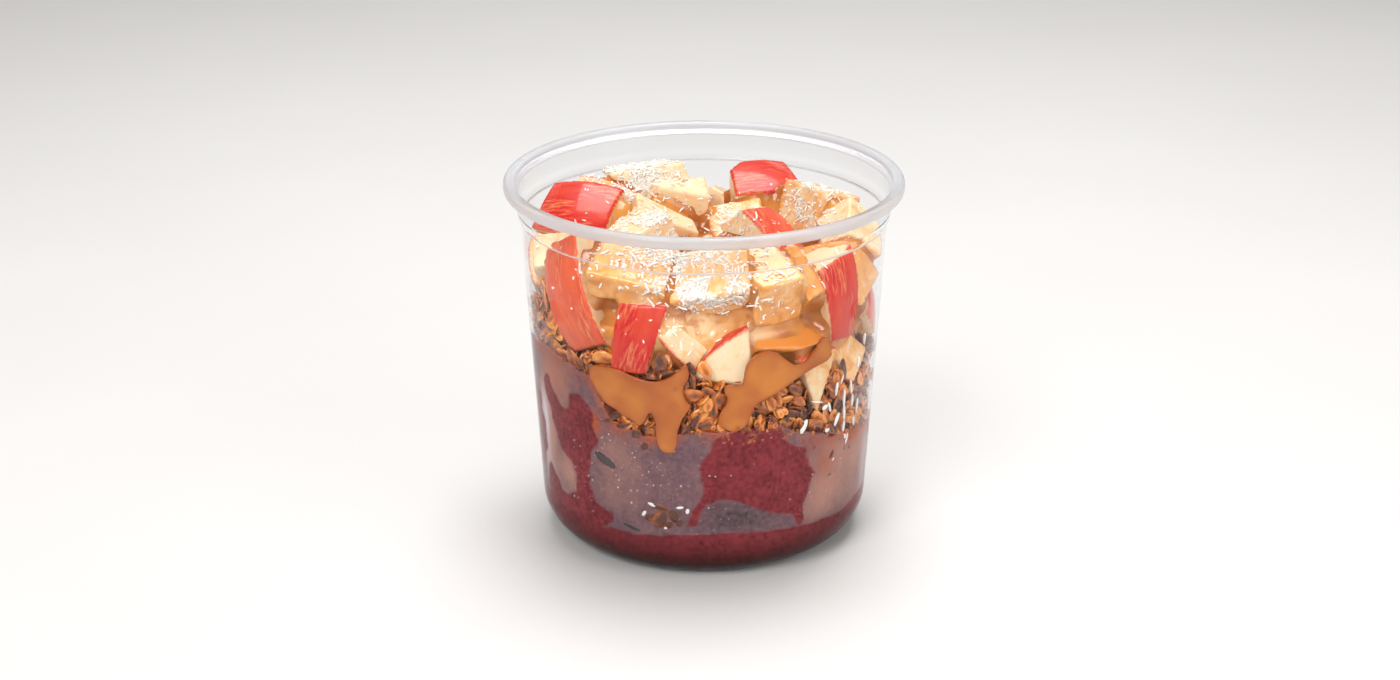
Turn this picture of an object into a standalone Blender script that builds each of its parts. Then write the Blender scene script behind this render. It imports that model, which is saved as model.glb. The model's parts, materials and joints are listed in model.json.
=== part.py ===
"""Acai bowl to go: a clear round deli cup with acai blend, granola, caramel sauce, apple chunks and coconut.

Z is up, and the origin is the middle of the face that the cup stands on. An azimuth is in degrees round the
cup: 0 is the front, at -Y, and 90 is the right side, at +X.
"""

import math
import random

import bmesh
import bpy
import numpy as np
from mathutils import Matrix, Vector
from mathutils.bvhtree import BVHTree

MM = 0.001
# Clear space between two pieces that touch
GAP = 0.35 * MM
SEED = 11

# The cup
CUP_HEIGHT = 108.5 * MM
RIM_RADIUS = 58.5 * MM
RIM_INNER_RADIUS = 54.9 * MM
RIM_DEPTH = 3.2 * MM
# The wall ends in a small shoulder that steps outward over a few millimetres of height
SHOULDER_HEIGHT = 97.0 * MM
SHOULDER_RISE = 3.0 * MM
SHOULDER_STEP = 0.9 * MM
WALL_TOP_RADIUS = 53.8 * MM
WALL_FOOT_RADIUS = 49.0 * MM
NECK_RADIUS = 55.6 * MM
CORNER_RADIUS = 12.4 * MM
WALL = 0.75 * MM
FOOT_RING = 2.6 * MM
BASE_RECESS = 1.0 * MM
CUP_SIDES = 44

# The fillings, round the cup in FILLING_SIDES steps
FILLING_SIDES = 48
ACAI_RECESS = 1.35 * MM
# Radii of the rings in the surface between acai and granola, as shares of the room inside the wall;
# the last is the side of the granola's core
LAYER_SHARES = (0.2, 0.5, 0.8, 0.955)
CARAMEL_THICKNESS = 0.9 * MM
# Height of the top of the acai at the wall, then of the granola: (azimuth, height in mm)
ACAI_EDGE = [(-180, 47), (-130, 57), (-95, 63), (-58, 64), (-40, 61), (-32, 50), (-20, 46), (0, 49), (26, 48),
             (40, 43), (55, 38), (75, 37), (120, 42)]
GRANOLA_EDGE = [(-180, 65), (-130, 72), (-95, 76), (-68, 76), (-42, 73), (-30, 66), (0, 66), (18, 63),
                (30, 58), (60, 56), (90, 58), (130, 60)]
ACAI_CENTRE_HEIGHT = 52 * MM
GRANOLA_CENTRE_HEIGHT = 80 * MM
# Patches of acai pressed flat on the wall: (azimuth, height in mm, half width in degrees, half height in mm)
ACAI_PATCHES = [(18, 36, 20, 10), (-3, 22, 4, 6), (36, 20, 5, 9), (-46, 24, 5, 15), (-60, 46, 9, 9),
                (-72, 58, 12, 6), (-58, 18, 12, 5), (100, 28, 16, 9), (128, 20, 5, 10), (160, 38, 14, 7),
                (-150, 30, 18, 11), (-112, 48, 14, 7), (-100, 22, 5, 12)]
BASE_PATCH_HEIGHT = 15.5 * MM
# Patches stay this far from caramel, in mm, and are full at twice the distance
CARAMEL_MARGIN = 3.0

# Apple chunks
APPLE_RADIUS = 36 * MM
SKIN_FINENESS = 3

# Where two chunks meet, the earlier row keeps its shape.
# Row of the table: (centre in mm), (skin faces this way), (the wedge's length runs this way),
# (width, length, depth in mm), taper from the skin to the core, coconut shreds on it
CHUNKS = [
    # Against the front wall
    ((-35.5, -29.0, 88.5), (-0.74, -0.66, 0.1), (0.36, -0.30, -0.88), (17, 32, 16), 0.45, 0),
    ((-14.3, -42.5, 75.5), (-0.32, -0.94, 0.05), (0.12, -0.02, 0.99), (13.5, 20.5, 13), 0.85, 0),
    ((6.0, -42.5, 72.5), (-0.68, 0.02, 0.73), (0.08, -0.99, 0.0), (27, 14, 17), 0.02, 0),
    ((36.0, -28.0, 80.0), (0.72, -0.69, 0.05), (-0.08, 0.04, 0.99), (12.5, 24, 15), 0.75, 0),
    ((-18.5, -35.5, 92.5), (0.3, 0.9, 0.4), (1.0, 0.1, 0.1), (18, 22, 16), 0.6, 2),
    ((1.5, -36.5, 90.0), (0.1, 0.75, -0.65), (0.95, 0.1, 0.1), (20, 21, 19), 0.7, 8),
    ((15.5, -38.0, 87.5), (-0.2, 0.5, -0.85), (0.05, -0.3, 0.95), (17, 19, 16), 0.85, 1),
    ((27.0, -33.0, 87.5), (-0.4, 0.7, -0.6), (0.75, 0.6, 0.1), (19, 16, 16), 0.85, 1),
    ((29.5, -35.0, 60.0), (-0.1, 0.1, 0.97), (0.62, -0.78, 0.05), (14, 12, 17), 0.05, 0),
    ((20.5, -37.5, 69.5), (0.25, -0.6, -0.76), (0.86, 0.45, 0.0), (15, 21, 13), 0.6, 0),
    ((-4.5, -38.0, 77.0), (-0.66, -0.1, -0.72), (0.1, -0.97, -0.1), (21, 19, 16), 0.6, 0),
    ((39.5, -24.5, 63.0), (-0.42, -0.45, -0.79), (0.75, 0.55, -0.2), (16, 16, 14), 0.5, 0),
    ((-45.0, -11.0, 84.0), (0.2, 0.6, -0.8), (0.3, -0.5, 0.8), (17, 17, 16), 0.7, 0),
    ((43.0, -16.0, 84.0), (0.2, 0.7, 0.65), (0.4, 0.85, 0.2), (17, 18, 15), 0.7, 0),
    # On top, back to front
    ((-36.5, 14.0, 88.5), (-0.12, -0.5, 0.86), (0.93, -0.3, -0.1), (19, 23, 14), 0.7, 1),
    ((-31.0, 30.0, 87.0), (0.5, 0.6, 0.6), (0.75, -0.6, -0.1), (15, 20, 15), 0.7, 2),
    ((-21.5, 38.0, 90.0), (-0.3, 0.85, -0.4), (0.9, 0.3, 0.25), (17, 20, 15), 0.6, 6),
    ((-14.5, 27.0, 90.0), (-0.2, 0.45, -0.85), (0.88, 0.25, 0.1), (17, 19, 14), 0.3, 4),
    ((3.5, 39.0, 84.5), (0.3, 0.8, -0.5), (0.3, 0.1, 0.95), (13, 15, 13), 0.6, 1),
    ((5.5, 17.5, 85.5), (0.1, 0.5, -0.85), (0.9, 0.2, 0.1), (16, 17, 14), 0.7, 3),
    ((19.0, 30.0, 89.5), (0.2, -0.32, 0.93), (0.93, 0.3, -0.05), (17, 20, 15), 0.7, 2),
    ((31.0, 16.0, 88.0), (0.7, 0.6, -0.4), (0.8, -0.6, 0.0), (18, 22, 15), 0.8, 4),
    ((25.5, -12.0, 91.5), (0.66, -0.32, 0.68), (0.58, -0.66, -0.48), (17, 30, 16), 0.35, 0),
    ((40.0, -2.0, 84.5), (0.6, 0.3, -0.75), (0.3, 0.95, 0.0), (16, 17, 14), 0.7, 0),
    ((-14.5, 4.5, 87.5), (-0.4, 0.2, -0.9), (0.9, 0.1, 0.3), (17, 20, 14), 0.6, 6),
    ((0.0, -15.0, 87.0), (0.1, 0.2, -0.97), (0.7, -0.7, 0.0), (19, 20, 15), 0.8, 7),
    ((12.0, 1.5, 84.0), (-0.6, 0.1, -0.75), (0.1, 1.0, 0.1), (16, 17, 13), 0.7, 3),
    ((-25.0, -13.0, 86.5), (0.2, 0.2, -0.95), (0.6, 0.8, 0.0), (17, 19, 14), 0.7, 2),
    # Round the side and the back
    ((-44.0, 2.0, 80.0), (-0.92, 0.1, -0.3), (0.1, 0.95, 0.3), (15, 19, 14), 0.5, 0),
    ((-38.0, 22.0, 77.0), (-0.75, 0.55, -0.2), (0.3, 0.6, 0.75), (15, 18, 14), 0.5, 0),
    ((-25.0, 36.0, 75.0), (0.3, -0.8, 0.5), (0.85, 0.5, 0.1), (17, 18, 14), 0.6, 0),
    ((-7.0, 43.0, 75.0), (-0.15, 0.97, 0.1), (0.3, 0.1, 0.95), (14, 20, 14), 0.6, 0),
    ((12.0, 41.0, 72.5), (0.6, -0.4, 0.7), (0.9, -0.3, 0.2), (17, 18, 13), 0.4, 0),
    ((28.5, 33.0, 74.0), (0.55, 0.75, 0.3), (-0.4, 0.1, 0.9), (15, 20, 14), 0.5, 0),
    ((40.5, 16.0, 72.5), (-0.5, -0.5, 0.7), (-0.35, 0.93, 0.0), (16, 18, 14), 0.5, 0),
    ((43.0, -3.0, 71.0), (0.97, -0.1, 0.2), (0.1, 0.8, 0.6), (14, 18, 14), 0.6, 0),
    # Seen between the others from above
    ((-27.0, 4.0, 80.0), (-0.3, 0.5, 0.8), (0.9, 0.3, 0.2), (17, 18, 14), 0.7, 0),
    ((25.0, 4.0, 80.0), (0.2, 0.3, -0.9), (0.5, 0.8, 0.1), (17, 18, 14), 0.7, 0),
    ((-3.0, 10.0, 81.0), (0.5, -0.3, 0.8), (0.4, 0.9, 0.1), (17, 18, 14), 0.7, 1),
    ((-12.0, -23.0, 82.0), (0.6, 0.3, -0.7), (0.5, 0.8, 0.1), (16, 18, 14), 0.7, 0),
]
# How far a knife cut may lean from square, as a slope
CUT_SLOPE = 0.2
# Rounds in which chunks that overlap push each other apart, before what still overlaps is cut flat
SETTLING_ROUNDS = 10
SETTLING_SHARE = 0.6
# The first rows of the table, along the front wall, give way less than the rest
HELD_CHUNKS = 14
HELD_WEIGHT = 0.12
CHUNK_TOP_LIMIT = 100.5 * MM
GRANOLA_BED = 7.5 * MM

# Distance along the wall in one degree of azimuth, in mm
MM_PER_DEGREE = 0.9

# Pools of caramel on the wall, as outlines of (azimuth, height in mm)
CARAMEL_POOLS = {
    "caramel_front": [(-38, 64.5), (-37, 55), (-31, 53), (-28, 47.5), (-25, 47), (-24, 51), (-18, 50),
                      (-15.5, 51), (-15, 44), (-13.3, 42), (-10.6, 42), (-8.8, 44), (-8.5, 53), (-5.5, 54.5),
                      (-4, 58), (-5, 64), (-12, 63.3), (-20, 62.6), (-28, 62.6), (-34, 64)],
    "caramel_right": [(8, 46.5), (12, 45.5), (15, 49), (19, 52), (24, 51.8), (24, 58), (17, 60.2), (11, 57.5),
                      (7.5, 52)],
    "caramel_back": [(146, 58), (143, 52), (147, 45), (150, 45), (153, 50), (160, 49), (164, 41), (168, 41),
                     (170, 51), (178, 54), (178, 58.5), (160, 59)],
    "caramel_left": [(-128, 66), (-130, 60), (-125, 55), (-122, 49), (-119, 49), (-117, 57), (-109, 60),
                     (-106, 66), (-116, 68)],
}
CARAMEL_STEP_DEGREES = 6

# Granola pieces that show on the core: half sizes, and the depth of their middles from the wall
FLAKE_SIZES = (3.8 * MM, 2.9 * MM, 0.85 * MM)
FLAKE_DEPTH = 2.0 * MM
FLAKE_TILT = 20.0
CLUSTER_SIZES = (3.9 * MM, 3.2 * MM, 2.5 * MM)
CLUSTER_DEPTH = 2.8 * MM
CLUSTER_SHARE = 0.35
PIECE_SPACING = 6.8 * MM
ROW_SPACING = 5.8 * MM
MOST_ROWS = 8
# Height of the first row's middles over the acai
FIRST_ROW_HEIGHT = 3.6 * MM
# Sizes, and extra depths in mm, that a piece tries in turn where it meets something
PIECE_TRIES = [(1.0, 0.0), (0.85, 0.3), (0.7, 0.3), (0.8, 1.6)]
GRANOLA_TOP_SHARES = (0.14, 0.28, 0.42, 0.55, 0.67, 0.78, 0.87, 0.955)
# How far round a spot the chunks' undersides are looked at
UNDERSIDE_SPREAD = 6.0 * MM

# Coconut
SHRED_LENGTH = 6.5 * MM
SHRED_WIDTH = 1.3 * MM
SHRED_THICKNESS = 0.6 * MM
# Shreds lie on faces of at least this area that face upward by at least this much
SHRED_FACE_AREA = 6 * MM * MM
SHRED_FACE_RISE = 0.35
SHRED_LEAN = 0.25
SHRED_TOP_LIMIT = CHUNK_TOP_LIMIT + 1.5 * MM
SHRED_TRIES = 12
# How deep the middles of the shreds that slid down the right of the wall lie behind it
WALL_SHRED_DEPTH = 1.6 * MM
# Their places: (azimuth, height in mm)
WALL_SHREDS = [(46, 55), (49, 49), (53, 53), (55, 47), (58, 51), (51, 43), (42, 50)]

COLOURS = {
    "clear_plastic": ((0.86, 0.88, 0.90), 0.12),
    "acai": ((0.20, 0.035, 0.05), 0.55),
    "granola": ((0.34, 0.14, 0.045), 0.6),
    "caramel": ((0.62, 0.27, 0.06), 0.25),
    "apple_flesh": ((0.90, 0.72, 0.42), 0.4),
    "apple_skin": ((0.62, 0.035, 0.025), 0.25),
}


def clear_scene():
    """Empty the scene that the script starts in."""
    for obj in list(bpy.data.objects):
        bpy.data.objects.remove(obj, do_unlink=True)


def material(name):
    """A Principled material from the colour table, made once."""
    found = bpy.data.materials.get(name)
    if found:
        return found
    colour, roughness = COLOURS[name]
    made = bpy.data.materials.new(name)
    made.use_nodes = True
    shader = made.node_tree.nodes["Principled BSDF"]
    shader.inputs["Base Color"].default_value = (*colour, 1.0)
    shader.inputs["Roughness"].default_value = roughness
    shader.inputs["Metallic"].default_value = 0.0
    if name == "clear_plastic":
        shader.inputs["Transmission Weight"].default_value = 0.9
    made.diffuse_color = (*colour, 1.0)
    return made


def new_object(name, mesh_data, *material_names):
    """Link a finished bmesh to the scene as a named object."""
    mesh = bpy.data.meshes.new(name)
    mesh_data.to_mesh(mesh)
    mesh_data.free()
    for material_name in material_names:
        mesh.materials.append(material(material_name))
    obj = bpy.data.objects.new(name, mesh)
    bpy.context.scene.collection.objects.link(obj)
    return obj


def round_shading(obj, angle):
    """Smooth shading, with the edges over an angle kept sharp."""
    obj.data.shade_smooth()
    obj.data.set_sharp_from_angle(angle=math.radians(angle))


def outward(azimuth):
    """The level direction from the axis out to an azimuth in degrees."""
    turn = math.radians(azimuth)
    return Vector((math.sin(turn), -math.cos(turn), 0.0))


def turn_between(start, end):
    """The signed turn from one azimuth to another, from -180 to 180 degrees."""
    return (end - start + 180.0) % 360.0 - 180.0


def on_ring(azimuth, radius, height):
    return outward(azimuth) * radius + Vector((0.0, 0.0, height))


def arc(centre, radius, start, end, steps):
    """Points (r, z) along an arc in the turned profile, angles in degrees from +r."""
    angles = [math.radians(start + (end - start) * i / steps) for i in range(steps + 1)]
    return [(centre[0] + radius * math.cos(a), centre[1] + radius * math.sin(a)) for a in angles]


def wall_outer_radius(height):
    """Outside radius of the straight wall, from the corner to the shoulder."""
    share = (height - CORNER_RADIUS) / (SHOULDER_HEIGHT - CORNER_RADIUS)
    return WALL_FOOT_RADIUS + (WALL_TOP_RADIUS - WALL_FOOT_RADIUS) * share


def inner_radius(height):
    """Inside radius of the cup at a height."""
    if height >= CORNER_RADIUS:
        return wall_outer_radius(min(height, SHOULDER_HEIGHT)) - WALL
    corner = CORNER_RADIUS - WALL
    drop = min(CORNER_RADIUS - height, corner)
    return WALL_FOOT_RADIUS - CORNER_RADIUS + math.sqrt(corner**2 - drop**2)


def ring_body(rings):
    """A closed bmesh of triangles from rings of equal length, with a single point as first and last ring."""
    body = bmesh.new()
    made = [[body.verts.new(point) for point in ring] for ring in rings]
    for lower, upper in zip(made, made[1:]):
        count = max(len(lower), len(upper))
        for i in range(count):
            j = (i + 1) % count
            if len(lower) == 1:
                body.faces.new((lower[0], upper[i], upper[j]))
            elif len(upper) == 1:
                body.faces.new((lower[i], upper[0], lower[j]))
            else:
                body.faces.new((lower[i], upper[i], upper[j]))
                body.faces.new((lower[i], upper[j], lower[j]))
    bmesh.ops.recalc_face_normals(body, faces=body.faces)
    return body


def cup_outline():
    """The cup's wall in section as (r, z): up the outside from the base, over the rim, down the inside."""
    corner_centre = (WALL_FOOT_RADIUS - CORNER_RADIUS, CORNER_RADIUS)
    ring_inside = corner_centre[0] - FOOT_RING
    neck_top = CUP_HEIGHT - RIM_DEPTH
    shoulder_top = SHOULDER_HEIGHT + SHOULDER_RISE
    rim_round = 1.2 * MM
    outside = [(0.0, BASE_RECESS), (ring_inside - BASE_RECESS, BASE_RECESS), (ring_inside, 0.0)]
    outside += arc(corner_centre, CORNER_RADIUS, -90, 0, 5)
    outside += [
        (WALL_TOP_RADIUS, SHOULDER_HEIGHT),
        (WALL_TOP_RADIUS + SHOULDER_STEP - 0.2 * MM, SHOULDER_HEIGHT + 0.45 * SHOULDER_RISE),
        (WALL_TOP_RADIUS + SHOULDER_STEP, shoulder_top),
        (NECK_RADIUS, neck_top),
        (RIM_RADIUS - 0.3 * MM, neck_top),
    ]
    outside += arc((RIM_RADIUS - rim_round, CUP_HEIGHT - rim_round), rim_round, 0, 90, 3)
    inside = arc((RIM_INNER_RADIUS + rim_round, CUP_HEIGHT - rim_round), rim_round, 90, 180, 2)
    inside += [
        (NECK_RADIUS - 2.0 * WALL, neck_top - 0.4 * MM),
        (WALL_TOP_RADIUS + SHOULDER_STEP - 0.8 * MM, shoulder_top + 0.2 * MM),
        (WALL_TOP_RADIUS - 0.3 * MM, shoulder_top - 0.35 * SHOULDER_RISE),
        (WALL_TOP_RADIUS - WALL, SHOULDER_HEIGHT),
    ]
    inside += arc(corner_centre, CORNER_RADIUS - WALL, 0, -90, 5)
    inside += [(ring_inside, WALL), (ring_inside - BASE_RECESS, WALL + BASE_RECESS)]
    inside += [(0.0, WALL + BASE_RECESS)]
    return outside + inside


def turned(outline, sides):
    """A closed bmesh turned from an outline (r, z) whose ends lie on the axis."""
    rings = []
    for radius, height in outline:
        if radius == 0.0:
            rings.append([Vector((0.0, 0.0, height))])
        else:
            rings.append([on_ring(360.0 * i / sides, radius, height) for i in range(sides)])
    return ring_body(rings)


def make_cup():
    cup = new_object("cup", turned(cup_outline(), CUP_SIDES), "clear_plastic")
    round_shading(cup, 25)
    return cup


def edge_height(table, azimuth):
    """Height at the wall, read round the cup from a table of (azimuth, height in mm)."""
    places, heights = zip(*sorted(table))
    return float(np.interp(azimuth, places, heights, period=360.0)) * MM


def layer_height(table, centre_height, azimuth, share):
    """Height of a layer's top, where share is 0 on the axis and 1 at the wall."""
    weight = share * share * (3.0 - 2.0 * share)
    return centre_height + (edge_height(table, azimuth) - centre_height) * weight


def caramel_clearance(azimuth, height):
    """Distance in mm along the wall from a spot to the nearest caramel pool's box, 0 inside it."""
    nearest = 100.0
    for outline in CARAMEL_POOLS.values():
        places, heights = zip(*outline)
        middle, half = (min(places) + max(places)) / 2, (max(places) - min(places)) / 2
        across = max(abs(turn_between(middle, azimuth)) - half, 0.0)
        along = max(min(heights) - height / MM, 0.0, height / MM - max(heights))
        nearest = min(nearest, math.hypot(across * MM_PER_DEGREE, along))
    return nearest


def pressed(azimuth, height):
    """How far the acai is pressed against the wall: 1 in a patch or at the foot, 0 away from them."""
    ripple = 1.6 * MM * math.sin(math.radians(5 * azimuth))
    ripple += 1.0 * MM * math.sin(math.radians(11 * azimuth + 40))
    if height < BASE_PATCH_HEIGHT + ripple:
        return 1.0
    nearest = 2.0
    for place, middle, half_width, half_height in ACAI_PATCHES:
        across = turn_between(place, azimuth) / half_width
        along = (height - middle * MM) / (half_height * MM)
        nearest = min(nearest, math.hypot(across, along))
    full = min(1.0, max(0.0, (1.25 - nearest) / 0.35))
    return full * min(1.0, max(0.0, caramel_clearance(azimuth, height) / CARAMEL_MARGIN - 1.0))


def acai_top(azimuth, share):
    return layer_height(ACAI_EDGE, ACAI_CENTRE_HEIGHT, azimuth, share)


def layer_radius(azimuth, share):
    """Radius at a share of the room inside the wall, level with the acai's edge."""
    return share * (inner_radius(acai_top(azimuth, 1.0)) - GAP)


def filling_azimuths():
    return [360.0 * i / FILLING_SIDES for i in range(FILLING_SIDES)]


def make_acai():
    """The blend in the cup's foot: its side is pressed on the wall in patches and drawn back between them."""
    corner_centre = (WALL_FOOT_RADIUS - CORNER_RADIUS, CORNER_RADIUS)
    ring_inside = corner_centre[0] - FOOT_RING
    floor = WALL + GAP
    foot = [(ring_inside - BASE_RECESS - GAP, floor + BASE_RECESS), (ring_inside, floor)]
    foot += arc(corner_centre, CORNER_RADIUS - WALL - GAP, -90, 0, 4)
    rings = [[Vector((0.0, 0.0, floor + BASE_RECESS))]]
    rings += [[on_ring(a, radius, height) for a in filling_azimuths()] for radius, height in foot]
    side_rows = 9
    for row in range(1, side_rows + 1):
        ring = []
        for a in filling_azimuths():
            height = CORNER_RADIUS + (acai_top(a, 1.0) - CORNER_RADIUS) * row / side_rows
            drawn_back = ACAI_RECESS * (1.0 - pressed(a, height))
            ring.append(on_ring(a, inner_radius(height) - GAP - drawn_back, height))
        rings.append(ring)
    for share in reversed(LAYER_SHARES):
        rings.append([on_ring(a, layer_radius(a, share), acai_top(a, share)) for a in filling_azimuths()])
    rings.append([Vector((0.0, 0.0, ACAI_CENTRE_HEIGHT))])
    acai = new_object("acai_blend", ring_body(rings), "acai")
    round_shading(acai, 40)
    return acai


def cut_flat(solid, point, normal):
    """Cut a convex bmesh by a plane and close it, keeping the side that the normal points away from."""
    everything = solid.verts[:] + solid.edges[:] + solid.faces[:]
    cut = bmesh.ops.bisect_plane(
        solid, geom=everything, dist=1e-7, plane_co=point, plane_no=normal, clear_outer=True
    )
    rim = [part for part in cut["geom_cut"] if isinstance(part, bmesh.types.BMEdge)]
    if rim:
        filled = bmesh.ops.edgeloop_fill(solid, edges=rim)
        for face in filled["faces"]:
            face.material_index = 0


def apple_chunk(width, length, depth, taper, draw):
    """A chunk cut from an apple, in its own frame: skin to +X, width along Y, length along Z.

    Its flesh is slot 0 and its skin slot 1.
    """
    chunk = bmesh.new()
    bmesh.ops.create_icosphere(chunk, subdivisions=SKIN_FINENESS, radius=APPLE_RADIUS)
    for face in chunk.faces:
        face.material_index = 1
    core = Vector((APPLE_RADIUS - depth, 0.0, 0.0))
    for side in (-1.0, 1.0):
        at_core = core + Vector((0.0, side * taper * width / 2, 0.0))
        spread = (1.0 - taper) * width / 2
        lean = [draw.uniform(-CUT_SLOPE, CUT_SLOPE) for _ in range(3)]
        cut_flat(chunk, at_core, Vector((-spread, side * depth, lean[0] * depth)).normalized())
        at_end = Vector((APPLE_RADIUS - depth / 2, 0.0, side * length / 2))
        cut_flat(chunk, at_end, Vector((lean[1], lean[2], side)).normalized())
    cut_flat(chunk, core, Vector((-1.0, 0.0, draw.uniform(-CUT_SLOPE, CUT_SLOPE))).normalized())
    return chunk


def turned_to(skin, length):
    """The rotation that takes +X to the skin's direction and +Z to the length's."""
    x = Vector(skin).normalized()
    z = Vector(length)
    z = (z - x * z.dot(x)).normalized()
    y = z.cross(x)
    return Matrix((x, y, z)).transposed().to_4x4()


def points_of(solid):
    return np.array([vert.co for vert in solid.verts])


def place_chunk(row, draw):
    """Make the chunk of one table row, with its centre where the row says."""
    centre, skin, length, (width, long_side, depth), taper, _ = row
    chunk = apple_chunk(width * MM, long_side * MM, depth * MM, taper, draw)
    bmesh.ops.transform(chunk, matrix=turned_to(skin, length), verts=chunk.verts)
    points = points_of(chunk)
    middle = Vector((points.min(axis=0) + points.max(axis=0)) / 2)
    shift = Vector(centre) * MM - middle
    bmesh.ops.translate(chunk, vec=shift, verts=chunk.verts)
    return chunk


def least_height(point):
    """The lowest that a chunk may reach over a spot: a thin bed of granola over the acai."""
    azimuth = math.degrees(math.atan2(point[0], -point[1]))
    share = min(1.0, math.hypot(point[0], point[1]) / layer_radius(azimuth, 1.0))
    return acai_top(azimuth, share) + GRANOLA_BED


def keep_in_cup(chunk):
    """Push a chunk in from the wall, up from the granola and down from the top limit, until it is clear."""
    for _ in range(3):
        points = points_of(chunk)
        reach = np.hypot(points[:, 0], points[:, 1])
        room = np.array([inner_radius(z) - GAP for z in points[:, 2]])
        worst = int(np.argmax(reach - room))
        excess = reach[worst] - room[worst]
        if excess > 0.0:
            inward = -Vector((points[worst, 0], points[worst, 1], 0.0)).normalized()
            bmesh.ops.translate(chunk, vec=inward * excess * 1.02, verts=chunk.verts)
        under = max(least_height(point) - point[2] for point in points_of(chunk))
        if under > 0.0:
            bmesh.ops.translate(chunk, vec=Vector((0.0, 0.0, under)), verts=chunk.verts)
        over = points[:, 2].max() - CHUNK_TOP_LIMIT
        if over > 0.0:
            bmesh.ops.translate(chunk, vec=Vector((0.0, 0.0, -over)), verts=chunk.verts)


def narrowest_overlap(first, second):
    """The direction from first to second in which two convex solids overlap least.

    Returned as (overlap, direction, where the first ends, where the second starts).
    """
    points_a, points_b = points_of(first), points_of(second)
    between = points_b.mean(axis=0) - points_a.mean(axis=0)
    directions = [between]
    directions += [np.array(face.normal) for face in first.faces]
    directions += [-np.array(face.normal) for face in second.faces]
    best = None
    for direction in directions:
        size = np.linalg.norm(direction)
        if size < 1e-12 or direction @ between <= 0.0:
            continue
        direction = direction / size
        end_a = (points_a @ direction).max()
        start_b = (points_b @ direction).min()
        if best is None or end_a - start_b < best[0]:
            best = (end_a - start_b, direction, end_a, start_b)
    return best


def neighbours(chunks):
    """Pairs of chunks whose boxes, grown by the gap, meet."""
    boxes = [(points_of(c).min(axis=0) - GAP, points_of(c).max(axis=0) + GAP) for c in chunks]
    for i, (low_a, high_a) in enumerate(boxes):
        for j in range(i + 1, len(boxes)):
            low_b, high_b = boxes[j]
            if (low_a <= high_b).all() and (low_b <= high_a).all():
                yield i, j


def settle(chunks):
    """Let overlapping chunks push each other apart a little, inside the cup."""
    for _ in range(SETTLING_ROUNDS):
        for i, j in neighbours(chunks):
            depth, direction, _, _ = narrowest_overlap(chunks[i], chunks[j])
            push = depth + GAP
            if push > 0.0:
                weights = [HELD_WEIGHT if number < HELD_CHUNKS else 1.0 for number in (i, j)]
                move = Vector(direction) * push * SETTLING_SHARE / (weights[0] + weights[1])
                if max(weights) < 1.0:
                    move *= HELD_WEIGHT
                bmesh.ops.translate(chunks[i], vec=-move * weights[0], verts=chunks[i].verts)
                bmesh.ops.translate(chunks[j], vec=move * weights[1], verts=chunks[j].verts)
        for chunk in chunks:
            keep_in_cup(chunk)


def part_neighbours(chunks):
    """Cut the later of two chunks that still overlap along a flat face, a gap away from the earlier one."""
    for i, j in neighbours(chunks):
        depth, direction, end_a, _ = narrowest_overlap(chunks[i], chunks[j])
        if depth + GAP > 0.0:
            normal = Vector(direction)
            cut_flat(chunks[j], normal * (end_a + GAP), -normal)


def make_chunks():
    """All apple chunks as objects, settled in the cup and clear of each other."""
    draw = random.Random(SEED)
    chunks = [place_chunk(row, draw) for row in CHUNKS]
    for chunk in chunks:
        keep_in_cup(chunk)
    settle(chunks)
    part_neighbours(chunks)
    made = []
    for number, chunk in enumerate(chunks, start=1):
        bmesh.ops.recalc_face_normals(chunk, faces=chunk.faces)
        chunk_object = new_object(f"apple_chunk_{number:02d}", chunk, "apple_flesh", "apple_skin")
        round_shading(chunk_object, 25)
        made.append(chunk_object)
    return made


def tree_of(objects):
    """A search tree over the faces of several objects."""
    points, faces = [], []
    for obj in objects:
        start = len(points)
        points += [obj.matrix_world @ vert.co for vert in obj.data.vertices]
        faces += [[start + index for index in face.vertices] for face in obj.data.polygons]
    return BVHTree.FromPolygons(points, faces)


def underside(tree, azimuth, radius, spread):
    """Lowest height of the chunks over a spot, looked up at a few places round it."""
    lowest = CUP_HEIGHT
    for turn in range(0, 360, 30):
        for reach in (0.0, 0.25, 0.5, 0.75, 1.0):
            start = on_ring(azimuth, radius, 0.0) + outward(turn) * spread * reach
            hit = tree.ray_cast(start, Vector((0.0, 0.0, 1.0)))
            if hit[0] is not None:
                lowest = min(lowest, hit[0].z)
    return lowest


def granola_top(tree, azimuth, share):
    """The granola's height: its own layer, or just under the chunks where they lie lower."""
    own = layer_height(GRANOLA_EDGE, GRANOLA_CENTRE_HEIGHT, azimuth, share)
    clear = underside(tree, azimuth, layer_radius(azimuth, share), UNDERSIDE_SPREAD) - 3 * GAP
    return max(min(own, clear), acai_top(azimuth, share) + 3 * GAP)


def make_granola_core(tree):
    """The body of the heap, between the acai and the chunks, inside the ring of pieces that show.

    Its rings run from the top down, so that its underside is split into triangles as the acai's top is.
    """
    rings = [[Vector((0.0, 0.0, granola_top(tree, 0.0, 0.0)))]]
    around = filling_azimuths()
    for share in GRANOLA_TOP_SHARES:
        rings.append([on_ring(a, layer_radius(a, share), granola_top(tree, a, share)) for a in around])
    for share in reversed(LAYER_SHARES):
        rings.append([on_ring(a, layer_radius(a, share), acai_top(a, share) + GAP) for a in around])
    rings.append([Vector((0.0, 0.0, ACAI_CENTRE_HEIGHT + GAP))])
    return new_object("granola_heap", ring_body(rings), "granola")


def lump(centre, half_sizes, turn):
    """A faceted lump with 20 faces: an oat flake when flat, a cluster when not."""
    piece = bmesh.new()
    bmesh.ops.create_icosphere(piece, subdivisions=1, radius=1.0)
    place = Matrix.Translation(centre) @ turn @ Matrix.Diagonal((*half_sizes, 1.0))
    bmesh.ops.transform(piece, matrix=place, verts=piece.verts)
    return piece


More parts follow.
